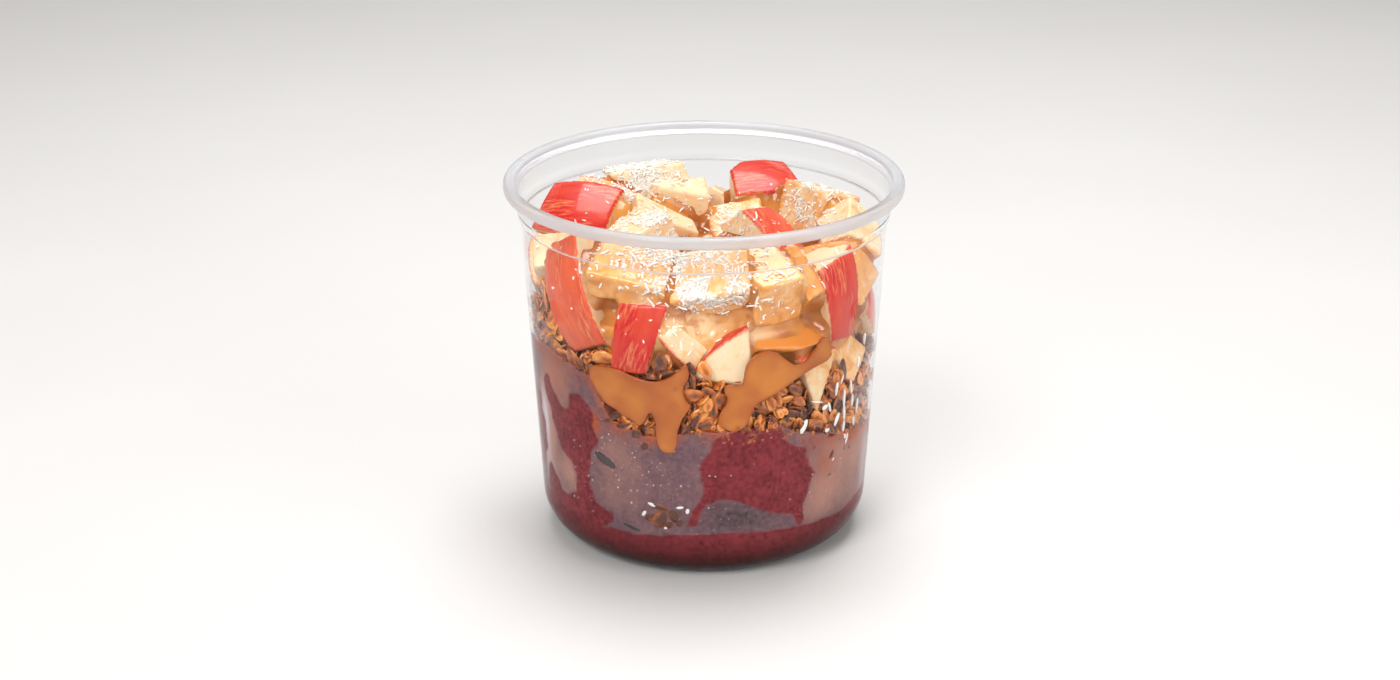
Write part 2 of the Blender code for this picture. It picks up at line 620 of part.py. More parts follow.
def shred(centre, turn, length):
    """A coconut shred: a thin strip, bent at its middle, along local X with its flat side to local Z."""
    strip = bmesh.new()
    bmesh.ops.create_cube(strip, size=1.0)
    long_edges = [e for e in strip.edges if abs(e.verts[0].co.x - e.verts[1].co.x) > 0.5]
    bmesh.ops.subdivide_edges(strip, edges=long_edges, cuts=1, use_grid_fill=True)
    for vert in strip.verts:
        if abs(vert.co.x) < 0.1:
            vert.co.z += 0.8
    place = Matrix.Translation(centre) @ turn @ Matrix.Diagonal((length, SHRED_WIDTH, SHRED_THICKNESS, 1.0))
    bmesh.ops.transform(strip, matrix=place, verts=strip.verts)
    return strip


def facing(normal, spin):
    """The rotation that takes +Z to a normal, after a spin about it in degrees."""
    return normal.to_track_quat("Z", "Y").to_matrix().to_4x4() @ Matrix.Rotation(math.radians(spin), 4, "Z")


def clear_of(piece, trees):
    """True where a piece neither crosses nor nearly touches what the search trees hold."""
    piece.normal_update()
    own = BVHTree.FromBMesh(piece)
    for tree in trees:
        if own.overlap(tree):
            return False
        for vert in piece.verts:
            if tree.find_nearest(vert.co, GAP)[0] is not None:
                return False
    return True


def inside_cup(piece):
    return all(math.hypot(v.co.x, v.co.y) < inner_radius(v.co.z) - GAP for v in piece.verts)


def fuse(body, pieces):
    """Join small pieces to a body by one Boolean union, and drop any scrap or sealed hollow."""
    joined = bpy.data.collections.new(body.name + "_pieces")
    for number, piece in enumerate(pieces):
        obj = new_object(f"{body.name}_piece_{number}", piece, body.data.materials[0].name)
        bpy.context.scene.collection.objects.unlink(obj)
        joined.objects.link(obj)
    bpy.context.scene.collection.children.link(joined)
    union = body.modifiers.new("fuse", "BOOLEAN")
    union.operation = "UNION"
    union.operand_type = "COLLECTION"
    union.collection = joined
    union.solver = "EXACT"
    graph = bpy.context.evaluated_depsgraph_get()
    fused = bpy.data.meshes.new_from_object(body.evaluated_get(graph))
    body.modifiers.remove(union)
    body.data = fused
    for obj in list(joined.objects):
        bpy.data.objects.remove(obj, do_unlink=True)
    bpy.data.collections.remove(joined)
    keep_largest_shell(body)


def keep_largest_shell(body):
    """Merge what the union left doubled, then remove every shell but the largest."""
    shape = bmesh.new()
    shape.from_mesh(body.data)
    bmesh.ops.remove_doubles(shape, verts=shape.verts, dist=2e-6)
    bmesh.ops.dissolve_degenerate(shape, edges=shape.edges, dist=2e-6)
    left = set(shape.faces)
    shells = []
    while left:
        start = left.pop()
        shell, front = {start}, [start]
        while front:
            for edge in front.pop().edges:
                new = [face for face in edge.link_faces if face not in shell]
                shell.update(new)
                front.extend(new)
        left -= shell
        shells.append(shell)
    largest = max(shells, key=len)
    scraps = [face for shell in shells if shell is not largest for face in shell]
    bmesh.ops.delete(shape, geom=scraps, context="FACES")
    bmesh.ops.triangulate(shape, faces=shape.faces)
    shape.to_mesh(body.data)
    shape.free()


def fitted(make_piece, trees):
    """The first of a piece's sizes and depths that is clear of everything, or None."""
    for size, extra_depth in PIECE_TRIES:
        piece = make_piece(size, extra_depth * MM)
        if inside_cup(piece) and clear_of(piece, trees):
            return piece
        piece.free()
    return None


def granola_spots(draw):
    """Places (azimuth, height) on the heap's side, in staggered rows from the acai to the granola's edge."""
    count = int(2 * math.pi * WALL_TOP_RADIUS / PIECE_SPACING)
    for row in range(MOST_ROWS):
        for step in range(count):
            azimuth = 360.0 * (step + 0.5 * (row % 2) + draw.uniform(-0.18, 0.18)) / count
            height = edge_height(ACAI_EDGE, azimuth) + FIRST_ROW_HEIGHT + row * ROW_SPACING
            height += draw.uniform(-0.8, 0.8) * MM
            if height < edge_height(GRANOLA_EDGE, azimuth) + 1.0 * MM:
                yield azimuth, height


def granola_pieces(trees):
    """Flakes and clusters round the core's side, and shreds of coconut at the right."""
    draw = random.Random(SEED + 1)
    pieces = []
    for azimuth, height in WALL_SHREDS:
        turn = facing(outward(azimuth), 90 + draw.uniform(-25, 25))

        def make_shred(size, extra):
            centre = on_ring(azimuth, inner_radius(height * MM) - GAP - WALL_SHRED_DEPTH - extra, height * MM)
            return shred(centre, turn, SHRED_LENGTH * size)

        pieces.append(fitted(make_shred, trees))
    for azimuth, height in granola_spots(draw):
        is_cluster = draw.random() < CLUSTER_SHARE
        half_sizes, depth = (CLUSTER_SIZES, CLUSTER_DEPTH) if is_cluster else (FLAKE_SIZES, FLAKE_DEPTH)
        tilt = 0.0 if is_cluster else draw.uniform(-FLAKE_TILT, FLAKE_TILT)
        turn = facing(outward(azimuth), draw.uniform(0, 180)) @ Matrix.Rotation(math.radians(tilt), 4, "X")
        scale = draw.uniform(0.85, 1.15)

        def make_piece(size, extra):
            centre = on_ring(azimuth, inner_radius(height) - GAP - depth - extra, height)
            return lump(centre, [half * scale * size for half in half_sizes], turn)

        pieces.append(fitted(make_piece, trees))
    return [piece for piece in pieces if piece]


def make_granola(chunks, acai, caramels):
    chunk_tree = tree_of(chunks)
    heap = make_granola_core(chunk_tree)
    trees = [chunk_tree, tree_of([acai]), tree_of(caramels)]
    fuse(heap, granola_pieces(trees))
    return heap


def make_caramel(name, outline):
    """A pool of sauce on the wall: its outline cut into upright strips, given a thickness and bent round."""
    sheet = bmesh.new()
    corners = [sheet.verts.new((azimuth, height, 0.0)) for azimuth, height in outline]
    sheet.faces.new(corners)
    first, last = min(p[0] for p in outline), max(p[0] for p in outline)
    for step in range(math.ceil((last - first) / CARAMEL_STEP_DEGREES)):
        everything = sheet.verts[:] + sheet.edges[:] + sheet.faces[:]
        line = Vector((first + step * CARAMEL_STEP_DEGREES, 0.0, 0.0))
        bmesh.ops.bisect_plane(sheet, geom=everything, dist=1e-6, plane_co=line, plane_no=Vector((1, 0, 0)))
    bmesh.ops.triangulate(sheet, faces=sheet.faces)
    back = bmesh.ops.extrude_face_region(sheet, geom=sheet.faces[:])
    raised = {part for part in back["geom"] if isinstance(part, bmesh.types.BMVert)}
    for vert in sheet.verts:
        height = vert.co.y * MM
        depth = CARAMEL_THICKNESS if vert in raised else 0.0
        vert.co = on_ring(vert.co.x, inner_radius(height) - GAP - depth, height)
    bmesh.ops.recalc_face_normals(sheet, faces=sheet.faces)
    caramel = new_object(name, sheet, "caramel")
    round_shading(caramel, 40)
    return caramel


def shreds_on(chunk, count, trees, draw):
    """Coconut shreds that lie half sunk on the upper faces of a chunk, clear of its neighbours."""
    made = []
    upper = [f for f in chunk.data.polygons if f.normal.z > SHRED_FACE_RISE and f.area > SHRED_FACE_AREA]
    for _ in range(count * SHRED_TRIES):
        if len(made) == count or not upper:
            break
        face = draw.choices(upper, weights=[f.area for f in upper])[0]
        corners = [chunk.data.vertices[index].co for index in face.vertices]
        weights = [draw.random() for _ in corners]
        spot = sum((c * w for c, w in zip(corners, weights)), Vector()) / sum(weights)
        normal = face.normal.copy()
        normal += Vector([draw.uniform(-SHRED_LEAN, SHRED_LEAN) for _ in range(3)])
        length = SHRED_LENGTH * draw.uniform(0.7, 1.1)
        turn = facing(normal.normalized(), draw.uniform(0, 360))
        piece = shred(spot + face.normal * 0.05 * MM, turn, length)
        too_high = max(vert.co.z for vert in piece.verts) > SHRED_TOP_LIMIT
        if too_high or not inside_cup(piece) or not clear_of(piece, trees):
            piece.free()
            continue
        made.append(piece)
    return made


def add_coconut(chunks):
    """Fuse the shreds that each row asks for to its chunk."""
    draw = random.Random(SEED + 2)
    for row, chunk in zip(CHUNKS, chunks):
        count = row[-1]
        if not count:
            continue
        trees = [tree_of([other]) for other in chunks if other is not chunk]
        pieces = shreds_on(chunk, count, trees, draw)
        if pieces:
            fuse(chunk, pieces)


def main():
    clear_scene()
    make_cup()
    acai = make_acai()
    chunks = make_chunks()
    caramels = [make_caramel(name, outline) for name, outline in CARAMEL_POOLS.items()]
    make_granola(chunks, acai, caramels)
    add_coconut(chunks)


main()
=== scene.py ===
"""Looks of an acai bowl to go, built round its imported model.

A clear round deli cup holds acai blend, granola, caramel sauce, apple chunks and coconut. Z is up and the
front is at -Y. An azimuth is in degrees round the cup: 0 is the front and 90 the right side, at +X. Sizes
are in metres.
"""

import itertools
import json
import math
import random

import bmesh
import bpy
import numpy as np
from mathutils import Matrix, Vector, noise
from mathutils.bvhtree import BVHTree

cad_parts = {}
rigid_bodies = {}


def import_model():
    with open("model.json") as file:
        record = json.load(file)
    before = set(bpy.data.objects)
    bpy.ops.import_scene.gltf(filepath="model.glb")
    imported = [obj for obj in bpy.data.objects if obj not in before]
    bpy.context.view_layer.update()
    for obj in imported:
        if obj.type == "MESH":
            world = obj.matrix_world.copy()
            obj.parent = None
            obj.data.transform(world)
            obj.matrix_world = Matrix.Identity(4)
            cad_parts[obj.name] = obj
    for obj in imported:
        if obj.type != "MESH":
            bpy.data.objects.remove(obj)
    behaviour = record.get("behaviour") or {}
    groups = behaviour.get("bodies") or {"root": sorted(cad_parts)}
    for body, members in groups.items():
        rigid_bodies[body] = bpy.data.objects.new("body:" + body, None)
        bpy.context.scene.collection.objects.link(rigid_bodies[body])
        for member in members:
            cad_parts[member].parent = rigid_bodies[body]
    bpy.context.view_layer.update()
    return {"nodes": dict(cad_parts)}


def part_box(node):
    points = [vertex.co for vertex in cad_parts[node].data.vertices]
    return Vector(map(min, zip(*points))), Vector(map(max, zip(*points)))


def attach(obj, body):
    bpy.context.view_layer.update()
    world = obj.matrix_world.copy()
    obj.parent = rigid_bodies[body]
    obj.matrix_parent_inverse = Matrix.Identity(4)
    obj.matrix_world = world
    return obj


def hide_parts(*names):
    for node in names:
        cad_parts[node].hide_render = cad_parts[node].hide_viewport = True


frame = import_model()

bl_info = {
    "name": "Acai Bowl",
    "version": (1, 0, 0),
    "blender": (4, 5, 0),
    "location": "3D View > Sidebar > Acai Bowl",
    "description": "A clear cup of acai blend with granola, caramel, apple chunks and coconut",
    "category": "Add Mesh",
}

MM = 0.001
SEED = 5
CUP_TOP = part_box("cup")[1]
CHUNK_NODES = sorted(name for name in frame["nodes"] if name.startswith("apple_chunk"))
CARAMEL_NODES = sorted(name for name in frame["nodes"] if name.startswith("caramel"))

# How far what touches the wall reaches into it, so that no air gap shows: the blend, and the sauce over it
REACH = 0.14 * MM
SAUCE_REACH = 0.32 * MM
# Distance along the wall in one degree of azimuth, in mm
MM_PER_DEGREE = 0.9
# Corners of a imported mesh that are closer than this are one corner
WELD = 0.01 * MM

# Height of the top of the acai at the wall: (azimuth, height in mm)
ACAI_EDGE = [
    (-180, 47), (-130, 57), (-95, 63), (-58, 64), (-40, 61), (-32, 50), (-20, 46), (0, 49), (26, 48),
    (40, 43), (55, 38), (75, 37), (120, 42),
]
ACAI_CENTRE_HEIGHT = 52 * MM
GRANOLA_EDGE = [
    (-180, 65), (-130, 72), (-95, 76), (-68, 76), (-42, 73), (-30, 66), (0, 66), (18, 63), (30, 58),
    (60, 56), (90, 58), (130, 60),
]
# Acai pressed flat against the wall, as outlines of (azimuth, height in mm)
PRESSED_OUTLINES = [
    # The broad patch right of the middle, with its two legs
    [
        (5, 48), (1, 42.5), (-2, 38), (-1, 34), (0, 30.5), (-2, 25), (-5, 22), (-5, 18.5), (-2, 19.5),
        (0, 25), (4, 27.3), (9, 27), (14, 25.5), (18, 23), (25, 21), (31, 18.9), (33, 15), (37, 15),
        (36, 20), (37, 24), (39, 29), (39, 32), (36, 36), (36, 40), (28, 42), (25, 49), (17, 50),
    ],
    # The smears at the left, down to the foot
    [
        (-68, 51), (-62, 44), (-57, 33), (-49, 31), (-49, 21.5), (-57, 18.5), (-62, 24), (-68, 27),
        (-72, 12), (-38, 12), (-30, 19), (-38, 20), (-42, 24), (-41, 38), (-36, 41), (-40, 46), (-37, 48),
        (-43, 55), (-49, 54), (-52, 46), (-58, 50), (-63, 57),
    ],
]
# Patches at the sides and the back: (azimuth, height in mm, half width in degrees, half height in mm)
PRESSED_PATCHES = [
    (100, 28, 16, 9), (128, 20, 5, 10), (160, 38, 14, 7), (-150, 30, 18, 11), (-112, 48, 14, 7),
    (-100, 22, 5, 12), (-84, 34, 9, 16), (80, 33, 3, 3), (-128, 18, 3, 6), (178, 22, 6, 8),
]
BASE_BAND_HEIGHT = 15.0
# Zones of the frosty film: (azimuth, height in mm, half width in degrees, half height in mm, how much paler)
# The zone at -66 degrees and 38 mm is partly painted reflection too: the pale streak down the wall's left
# edge
FOG_ZONES = [
    (-58, 56, 10, 10, 0.75), (-66, 38, 6, 15, 1.5), (-53, 27, 6, 6, 1.0), (-30, 38, 11, 8, 0.45),
    (-28, 26, 9, 6, 0.35), (52, 30, 14, 15, 0.95), (42, 21, 7, 6, 0.6), (70, 34, 10, 16, 0.7),
    (-2, 36, 7, 10, 0.1), (12, 21, 14, 4.5, -0.8), (-12, 44, 8, 5, -0.35), (120, 30, 14, 10, 0.6),
    (-170, 24, 20, 8, -0.5), (-120, 30, 10, 14, 0.6), (150, 20, 8, 8, 0.4),
]
# Where the film is thick and white, in the same terms. The five from -60 to -69 degrees are partly
# painted reflection: the pale streak down the wall's left edge
FROST_AND_REFLECTION_ZONES = [
    (-68, 43, 3, 6, 0.9), (-66.5, 37, 1.5, 5, 0.6), (-69, 30, 3, 6, 0.5), (-66, 20, 4, 5, 0.8),
    (-60, 17, 5, 3, 0.4), (74, 24, 4, 12, 0.4), (178, 40, 5, 8, 0.5), (105, 45, 4, 6, 0.4),
]
# Orange juice in the film, in the same terms
JUICE_ZONES = [
    (45, 33, 4.5, 4.5, 0.6), (39, 41, 4, 3, 0.55), (-38, 47, 1.8, 3.6, 1.6), (14, 47, 8, 2.5, 0.7),
    (20, 46, 4, 3, 0.6), (60, 40, 5, 4, 0.3), (-28, 47, 6, 3, 0.4), (-58, 57, 8, 6, 0.5),
    (110, 40, 8, 3, 0.5), (-140, 50, 9, 3, 0.5), (170, 44, 9, 3, 0.5),
]

# Pools and streams of caramel on the wall, as outlines of (azimuth, height in mm)
SAUCE_OUTLINES = {
    "caramel_front": [
        (-38.3, 65.3), (-31.9, 66), (-26.9, 65.6), (-23.7, 64.4), (-19, 63.6), (-15.3, 63.6), (-11.2, 65),
        (-7.9, 67.6), (-5.5, 70), (-4.2, 66), (-7, 62), (-5.5, 57.8), (-3.6, 56.9), (-6.3, 53.7),
        (-7.8, 50.5), (-8.5, 48.1), (-8.7, 43.4), (-11.8, 41), (-15.6, 43.6), (-15.5, 51.9), (-17.4, 54.6),
        (-19.4, 50.5), (-21.3, 49), (-23, 50.3), (-24.5, 51.1), (-26.8, 51.5), (-28.8, 53), (-32.7, 54),
        (-36.2, 56.9), (-37.9, 59.4), (-39.5, 62.6),
    ],
    "caramel_right": [
        (41, 74), (36.3, 68.6), (31.1, 66.2), (27, 68.5), (22.5, 72.5), (17, 72.5), (13.5, 69.5),
        (12.6, 66), (12.4, 62.4), (7.2, 63.6), (6, 61.2), (8, 58.5), (4.8, 54.6), (4.4, 51), (8.3, 48.6),
        (12.6, 48.8), (15.2, 53.5), (16.4, 56.6), (21.8, 58.4), (25.3, 59.8), (30.5, 62.4), (36.8, 64.6),
        (44.5, 65.6), (44, 70),
    ],
    "caramel_back": [
        (146, 58), (143, 52), (147, 45), (150, 45), (153, 50), (160, 49), (164, 41), (168, 41), (170, 51),
        (178, 54), (178, 58.5), (160, 59),
    ],
    "caramel_left": [
        (-128, 66), (-130, 60), (-125, 55), (-122, 49), (-119, 49), (-117, 57), (-109, 60), (-106, 66),
        (-116, 68),
    ],
}

# Where the sauce in the clefts is spread thinly over flesh, in the terms of the zones
THIN_SAUCE_ZONES = [
    (-6, 77, 12, 5, 1.0), (16, 76, 8, 3, 0.6), (-22, 84, 5, 6, 0.7), (0, 84, 5, 8, 0.6),
    (-45, 85, 6, 10, 0.6), (35, 88, 6, 8, 0.6),
]

# Small things pressed on the wall: (azimuth, height in mm, turn from level in degrees, length, width in mm)
WALL_SHREDS = [
    (53.1, 50.7, 88, 6.0, 1.0), (48.5, 54.9, 80, 4.5, 0.9), (53.7, 46, 92, 5.5, 1.1),
    (49.7, 45, 60, 4.5, 1.3), (53.9, 41.8, 85, 4.2, 1.2), (62.3, 45.5, 80, 5.0, 1.1),
    (60.5, 41.6, 95, 4.0, 1.2), (34.5, 46.5, 62, 4.8, 1.9), (56.4, 37.3, 75, 4.5, 1.3),
    (43.2, 50.6, 20, 2.4, 1.4), (39.5, 53.2, -18, 5.0, 0.6), (60.8, 59.7, 80, 4.0, 1.1),
    (57, 53, 100, 5.0, 1.0), (45.5, 50, 105, 3.5, 0.9), (51, 57.5, 70, 3.2, 0.9), (64.4, 66, 85, 3.6, 0.9),
    (58.4, 48.4, 84, 4.2, 0.9), (-112, 62, 40, 4.0, 1.0), (152, 66, 110, 4.5, 1.0), (168, 63, 60, 4.0, 1.0),
    (98, 52, 80, 4.5, 1.0), (118, 55, 30, 4.0, 1.0), (-146, 60, 75, 4.4, 1.0),
]
FILM_FLECKS = [
    (45, 43, 20, 1.9, 1.6), (55, 38, 70, 1.6, 1.5), (49, 32.5, 40, 1.3, 0.7), (-8, 24.5, 10, 2.6, 1.0),
    (-17.5, 24.6, -22, 3.8, 1.3), (-20.5, 21.5, 60, 2.6, 1.2), (-5.5, 23.5, 80, 2.2, 1.3),
    (-13, 17.6, 30, 1.4, 1.0), (88, 36, 20, 1.6, 1.2), (-95, 44, 50, 1.8, 1.0), (140, 34, 10, 1.8, 1.2),
    (-174, 31, 70, 2.0, 1.0),
]
FILM_OATS = [
    (-14.5, 20.5, 60, 7.0, 4.6), (-18, 20.5, 15, 4.4, 3.4), (-10, 22, 120, 5.2, 3.6),
    (-12, 18.6, 10, 4.0, 2.6), (-15, 24, -10, 5.0, 2.4), (-8, 19.5, 60, 3.2, 2.2),
    (-27, 48.5, 18, 5.0, 1.9), (-22.5, 46.6, 15, 3.8, 3.0), (-19.5, 43.2, 60, 3.2, 2.2),
    (-30, 51, 40, 4.6, 2.2), (-3, 52, 62, 5.4, 1.7), (-5.5, 49.5, 50, 4.6, 1.6), (-33, 49, 20, 3.5, 1.4),
    (48, 34.5, 60, 3.4, 1.6), (156, 42, 40, 5.0, 3.2), (-118, 50, 30, 4.6, 3.0), (92, 33, 70, 4.2, 2.4),
]
FILM_SEEDS = [
    (-35, 36.3, -26, 9.0, 3.6), (-25.5, 16.3, -14, 7.0, 2.0), (58.5, 33.5, 75, 1.6, 0.7),
    (-148, 24, 30, 5.0, 2.0), (47.5, 28, 15, 1.8, 0.6), (66, 41, 40, 1.3, 0.9),
]

# Where coconut lies: (middle in mm), (radii in mm), how thick
COCONUT_SPOTS = [
    ((-3, -15, 96), (17, 12, 9), 1.0), ((-3, -32, 95), (16, 11, 9), 1.0), ((-2, -50, 90), (12, 8, 9), 1.2),
    ((-21, 32, 97), (11, 13, 7), 1.0), ((30, 12, 95), (10, 10, 6), 0.4), ((8, 16, 91), (9, 8, 6), 0.35),
    ((14, -46, 88), (9, 7, 6), 0.3), ((-24, -34, 94), (12, 8, 7), 0.12), ((0, 0, 92), (44, 44, 14), 0.05),
]


def to_linear(code):
    """An sRGB hex colour such as '#C8402E' as linear red, green, blue and alpha."""
    channels = [int(code[i:i + 2], 16) / 255 for i in (1, 3, 5)]
    return tuple(c / 12.92 if c <= 0.04045 else ((c + 0.055) / 1.055) ** 2.4 for c in channels) + (1.0,)


def length(label, description, millimetres):
    """A property for a size, with its default in millimetres."""
    return bpy.props.FloatProperty(name=label, description=description, default=millimetres * MM, min=0.0,
                                   precision=5, subtype="DISTANCE", unit="LENGTH")


def colour(label, description, code):
    """A property for a colour, with its default as an sRGB hex value."""
    return bpy.props.FloatVectorProperty(name=label, description=description, default=to_linear(code), size=4,
                                         min=0.0, max=1.0, subtype="COLOR")


class CupSettings(bpy.types.PropertyGroup):
    """The clear cup."""

    wall: length("Wall", "Thickness of the clear wall", 0.75)
    top_radius: length("Top radius", "Outside radius of the wall under the shoulder", 53.8)
    foot_radius: length("Foot radius", "Outside radius of the wall over the foot's corner", 49.0)
    neck_radius: length("Neck radius", "Outside radius of the neck under the rim", 55.6)
    corner_radius: length("Corner", "Radius of the corner at the foot", 12.4)
    shoulder_height: length("Shoulder height", "Where the straight wall ends", 97.0)
    shoulder_rise: length("Shoulder rise", "Height of the step over the straight wall", 3.0)
    rim_width: length("Rim width", "Width of the rim's bead", 3.6)
    rim_depth: length("Rim depth", "Height of the rim's bead", 3.2)
    foot_ring: length("Foot ring", "Width of the ring that the cup stands on", 2.6)
    base_recess: length("Base recess", "How far the middle of the base is raised", 1.0)
    sides: bpy.props.IntProperty(name="Sides", description="Steps round the cup", default=256, min=24)
    plastic: colour("Plastic", "Tint of the clear plastic", "#F7F8F9")
    rim_plastic: colour("Rim", "Colour of the frosted rim", "#E0E1E4")


class AcaiSettings(bpy.types.PropertyGroup):
    """The acai blend."""

    columns: bpy.props.IntProperty(name="Columns", description="Steps round the blend", default=480, min=48)
    rows: bpy.props.IntProperty(name="Rows", description="Steps up the blend's side", default=120, min=10)
    pressed: colour("Pressed", "Blend that is pressed on the wall", "#8C3539")
    pressed_dark: colour("Pulp", "Dark pulp in the blend", "#5A1D24")
    fog: colour("Fog", "Blend behind the frosty film", "#6A4B51")
    fog_dark: colour("Dark fog", "Blend that stands back from the film", "#45353A")
    fog_pale: colour("Pale fog", "Thicker film", "#B27F6E")
    juice: colour("Juice", "Caramel and juice in the film", "#B8562A")
    speck_spacing: length("Pulp spacing", "Distance between specks of pulp", 1.3)
    bead_spacing: length("Bead spacing", "Distance between beads of dew", 2.1)


class GranolaSettings(bpy.types.PropertyGroup):
    """The granola."""

    oat_length: length("Oat length", "Length of a rolled oat", 7.2)
    oat_width: length("Oat width", "Width of a rolled oat", 4.6)
    oat_thickness: length("Oat thickness", "Thickness of a rolled oat", 1.2)
    spacing: length("Spacing", "Least distance between pieces", 3.1)
    pale: colour("Pale oat", "Least toasted oats", "#F6A048")
    toasted: colour("Toasted oat", "Most of the oats", "#C8681F")
    # The dark colour is partly the most toasted oats and partly painted shade in the gaps between them and in
    # their creases
    dark: colour("Dark oat", "Most toasted oats and the sugar between them", "#521F08")
    seed: colour("Seed", "Shell of the dark seeds in the blend", "#33282A")


class CaramelSettings(bpy.types.PropertyGroup):
    """The caramel sauce."""

    grain: length("Grain", "Size of the mesh's faces", 0.42)
    thickness: length("Thickness", "Depth of the sauce on the wall", 1.1)
    sauce: colour("Sauce", "Thick caramel", "#B2590F")
    thin: colour("Thin sauce", "Caramel where it is thin", "#CC7A22")
    cleft: colour("Cleft sauce", "Caramel deep between the chunks", "#A8551C")
    spread: colour("Spread sauce", "Caramel spread thinly over flesh", "#F6D3A0")
    cleft_thin: colour("Thin cleft sauce", "The paler parts of it", "#DC9448")


class AppleSettings(bpy.types.PropertyGroup):
    """The apple chunks."""

    apple_radius: length("Apple radius", "Radius of the apples they were cut from", 36.0)
    grain: length("Grain", "Size of the mesh's faces", 0.62)
    unevenness: length("Unevenness", "Height of the bumps that the knife leaves", 0.22)
    skin_depth: length("Skin depth", "Thickness of the red skin", 0.45)
    flesh: colour("Flesh", "Fresh flesh", "#F5DAB2")
    flesh_deep: colour("Deep flesh", "Flesh near the core and in the grain", "#F2CF95")
    glaze: colour("Glaze", "Flesh under thin caramel", "#F5A548")
    thick_glaze: colour("Thick glaze", "Flesh under thick caramel", "#DC8430")
    red: colour("Red", "The skin's ripest red", "#CB100A")
    coral: colour("Coral", "The skin where it ripened least", "#E86B3A")
    streak: colour("Streak", "The skin's yellow streaks", "#F3B873")


class CoconutSettings(bpy.types.PropertyGroup):
    """The coconut."""

    shred_length: length("Shred length", "Length of a long shred", 6.5)
    shred_width: length("Shred width", "Width of a shred", 0.55)
    spacing: length("Spacing", "Least distance between shreds", 0.34)
    white: colour("White", "Colour of the coconut", "#FCFAF5")


class StageSettings(bpy.types.PropertyGroup):
    """Floor, lights and camera."""

    floor: colour("Floor", "Colour of the floor", "#E4E2E0")
    distance: length("Distance", "From the camera to the middle of the cup", 700.0)
    elevation: bpy.props.FloatProperty(name="Elevation", description="How far the camera looks down",
                                       default=math.radians(21.6), subtype="ANGLE")
    lens: bpy.props.FloatProperty(name="Lens", description="Focal length in millimetres", default=60.0)


def smoothstep(low, high, value):
    """0 below low, 1 above high and smooth between them, for a number or an array."""
    t = np.clip((value - low) / (high - low), 0.0, 1.0)
    return t * t * (3.0 - 2.0 * t)


def inner_radius(height):
    """Inside radius of the cup at a height, or at an array of heights."""
    cup = bpy.context.scene.acai_bowl_cup
    height = np.asarray(height, float)
    corner = cup.corner_radius - cup.wall
    up = np.clip((height - cup.corner_radius) / (cup.shoulder_height - cup.corner_radius), 0.0, 1.0)
    straight = cup.foot_radius + (cup.top_radius - cup.foot_radius) * up - cup.wall
    drop = np.clip(cup.corner_radius - height, 0.0, corner)
    bend = cup.foot_radius - cup.corner_radius + np.sqrt(corner**2 - drop**2)
    return np.where(height < cup.corner_radius, bend, straight)


def on_ring(azimuth, radius, height):
    """Points at azimuths in degrees, as an array with a last axis of three."""
    turn = np.radians(azimuth)
    return np.stack(np.broadcast_arrays(np.sin(turn) * radius, -np.cos(turn) * radius, height), axis=-1)


def azimuths_of(points):
    """Azimuths in degrees, from -180 to 180, of an array of points."""
    return np.degrees(np.arctan2(points[..., 0], -points[..., 1]))


def turn_between(start, end):
    """The signed turn from one azimuth to another, from -180 to 180 degrees."""
    return (end - start + 180.0) % 360.0 - 180.0


def edge_height(table, azimuth):
    """Height at the wall, read round the cup from a table of (azimuth, height in mm)."""
    places, heights = zip(*sorted(table))
    return np.interp(azimuth, places, heights, period=360.0) * MM


def edge_up(azimuth):
    """Height in mm of the blend's edge at the wall."""
    return edge_height(ACAI_EDGE, azimuth) / MM


def points_of(mesh):
    """A mesh's vertices as an array."""
    flat = np.empty(len(mesh.vertices) * 3)
    mesh.vertices.foreach_get("co", flat)
    return flat.reshape(-1, 3)


def normals_of(mesh):
    """A mesh's vertex normals as an array."""
    flat = np.empty(len(mesh.vertices) * 3)
    mesh.vertex_normals.foreach_get("vector", flat)
    return flat.reshape(-1, 3)


def set_points(mesh, points):
    """Move a mesh's vertices to an array of points."""
    mesh.vertices.foreach_set("co", np.ascontiguousarray(points, np.float32).ravel())
    mesh.update()


def set_attribute(mesh, name, values):
    """Store one number for each vertex."""
    layer = mesh.attributes.new(name, "FLOAT", "POINT")
    layer.data.foreach_set("value", np.asarray(values, np.float32))


def ripple(points, size, seed=0.0):
    """Smooth noise from -1 to 1 at points, with bumps of a size in metres."""
    offset = Vector((seed, 2.0 * seed, -seed))
    return np.array([noise.noise(Vector(p) / size + offset) for p in points])


def add_object(name, mesh, *materials):
    """Link a mesh to the scene as a smooth object, with its materials."""
    for material in materials:
        mesh.materials.append(material)
    mesh.shade_smooth()
    made = bpy.data.objects.new(name, mesh)
    bpy.context.scene.collection.objects.link(made)
    return made


def settle_piece(piece, slot, *nodes):
    """Let a finished piece ride with the cup and hide the nodes it stands for."""
    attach(piece, "root")
    if nodes:
        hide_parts(*nodes)


def plain_mesh(obj, name):
    """The object's evaluated mesh, with its modifiers applied; the object is removed."""
    graph = bpy.context.evaluated_depsgraph_get()
    mesh = bpy.data.meshes.new_from_object(obj.evaluated_get(graph), depsgraph=graph)
    mesh.name = name
    bpy.data.objects.remove(obj, do_unlink=True)
    return mesh


def mesh_of(solid, name):
    """A mesh from a bmesh, which is freed."""
    mesh = bpy.data.meshes.new(name)
    solid.to_mesh(mesh)
    solid.free()
    return mesh


def remeshed(mesh, grain, smoothing):
    """One closed skin round everything in a mesh, with faces of a size, then smoothed."""
    obj = add_object(mesh.name, mesh)
    remesh = obj.modifiers.new("skin", "REMESH")
    remesh.mode = "VOXEL"
    remesh.voxel_size = grain
    if smoothing:
        smooth = obj.modifiers.new("smooth", "SMOOTH")
        smooth.factor = 0.5
        smooth.iterations = smoothing
    return plain_mesh(obj, mesh.name)


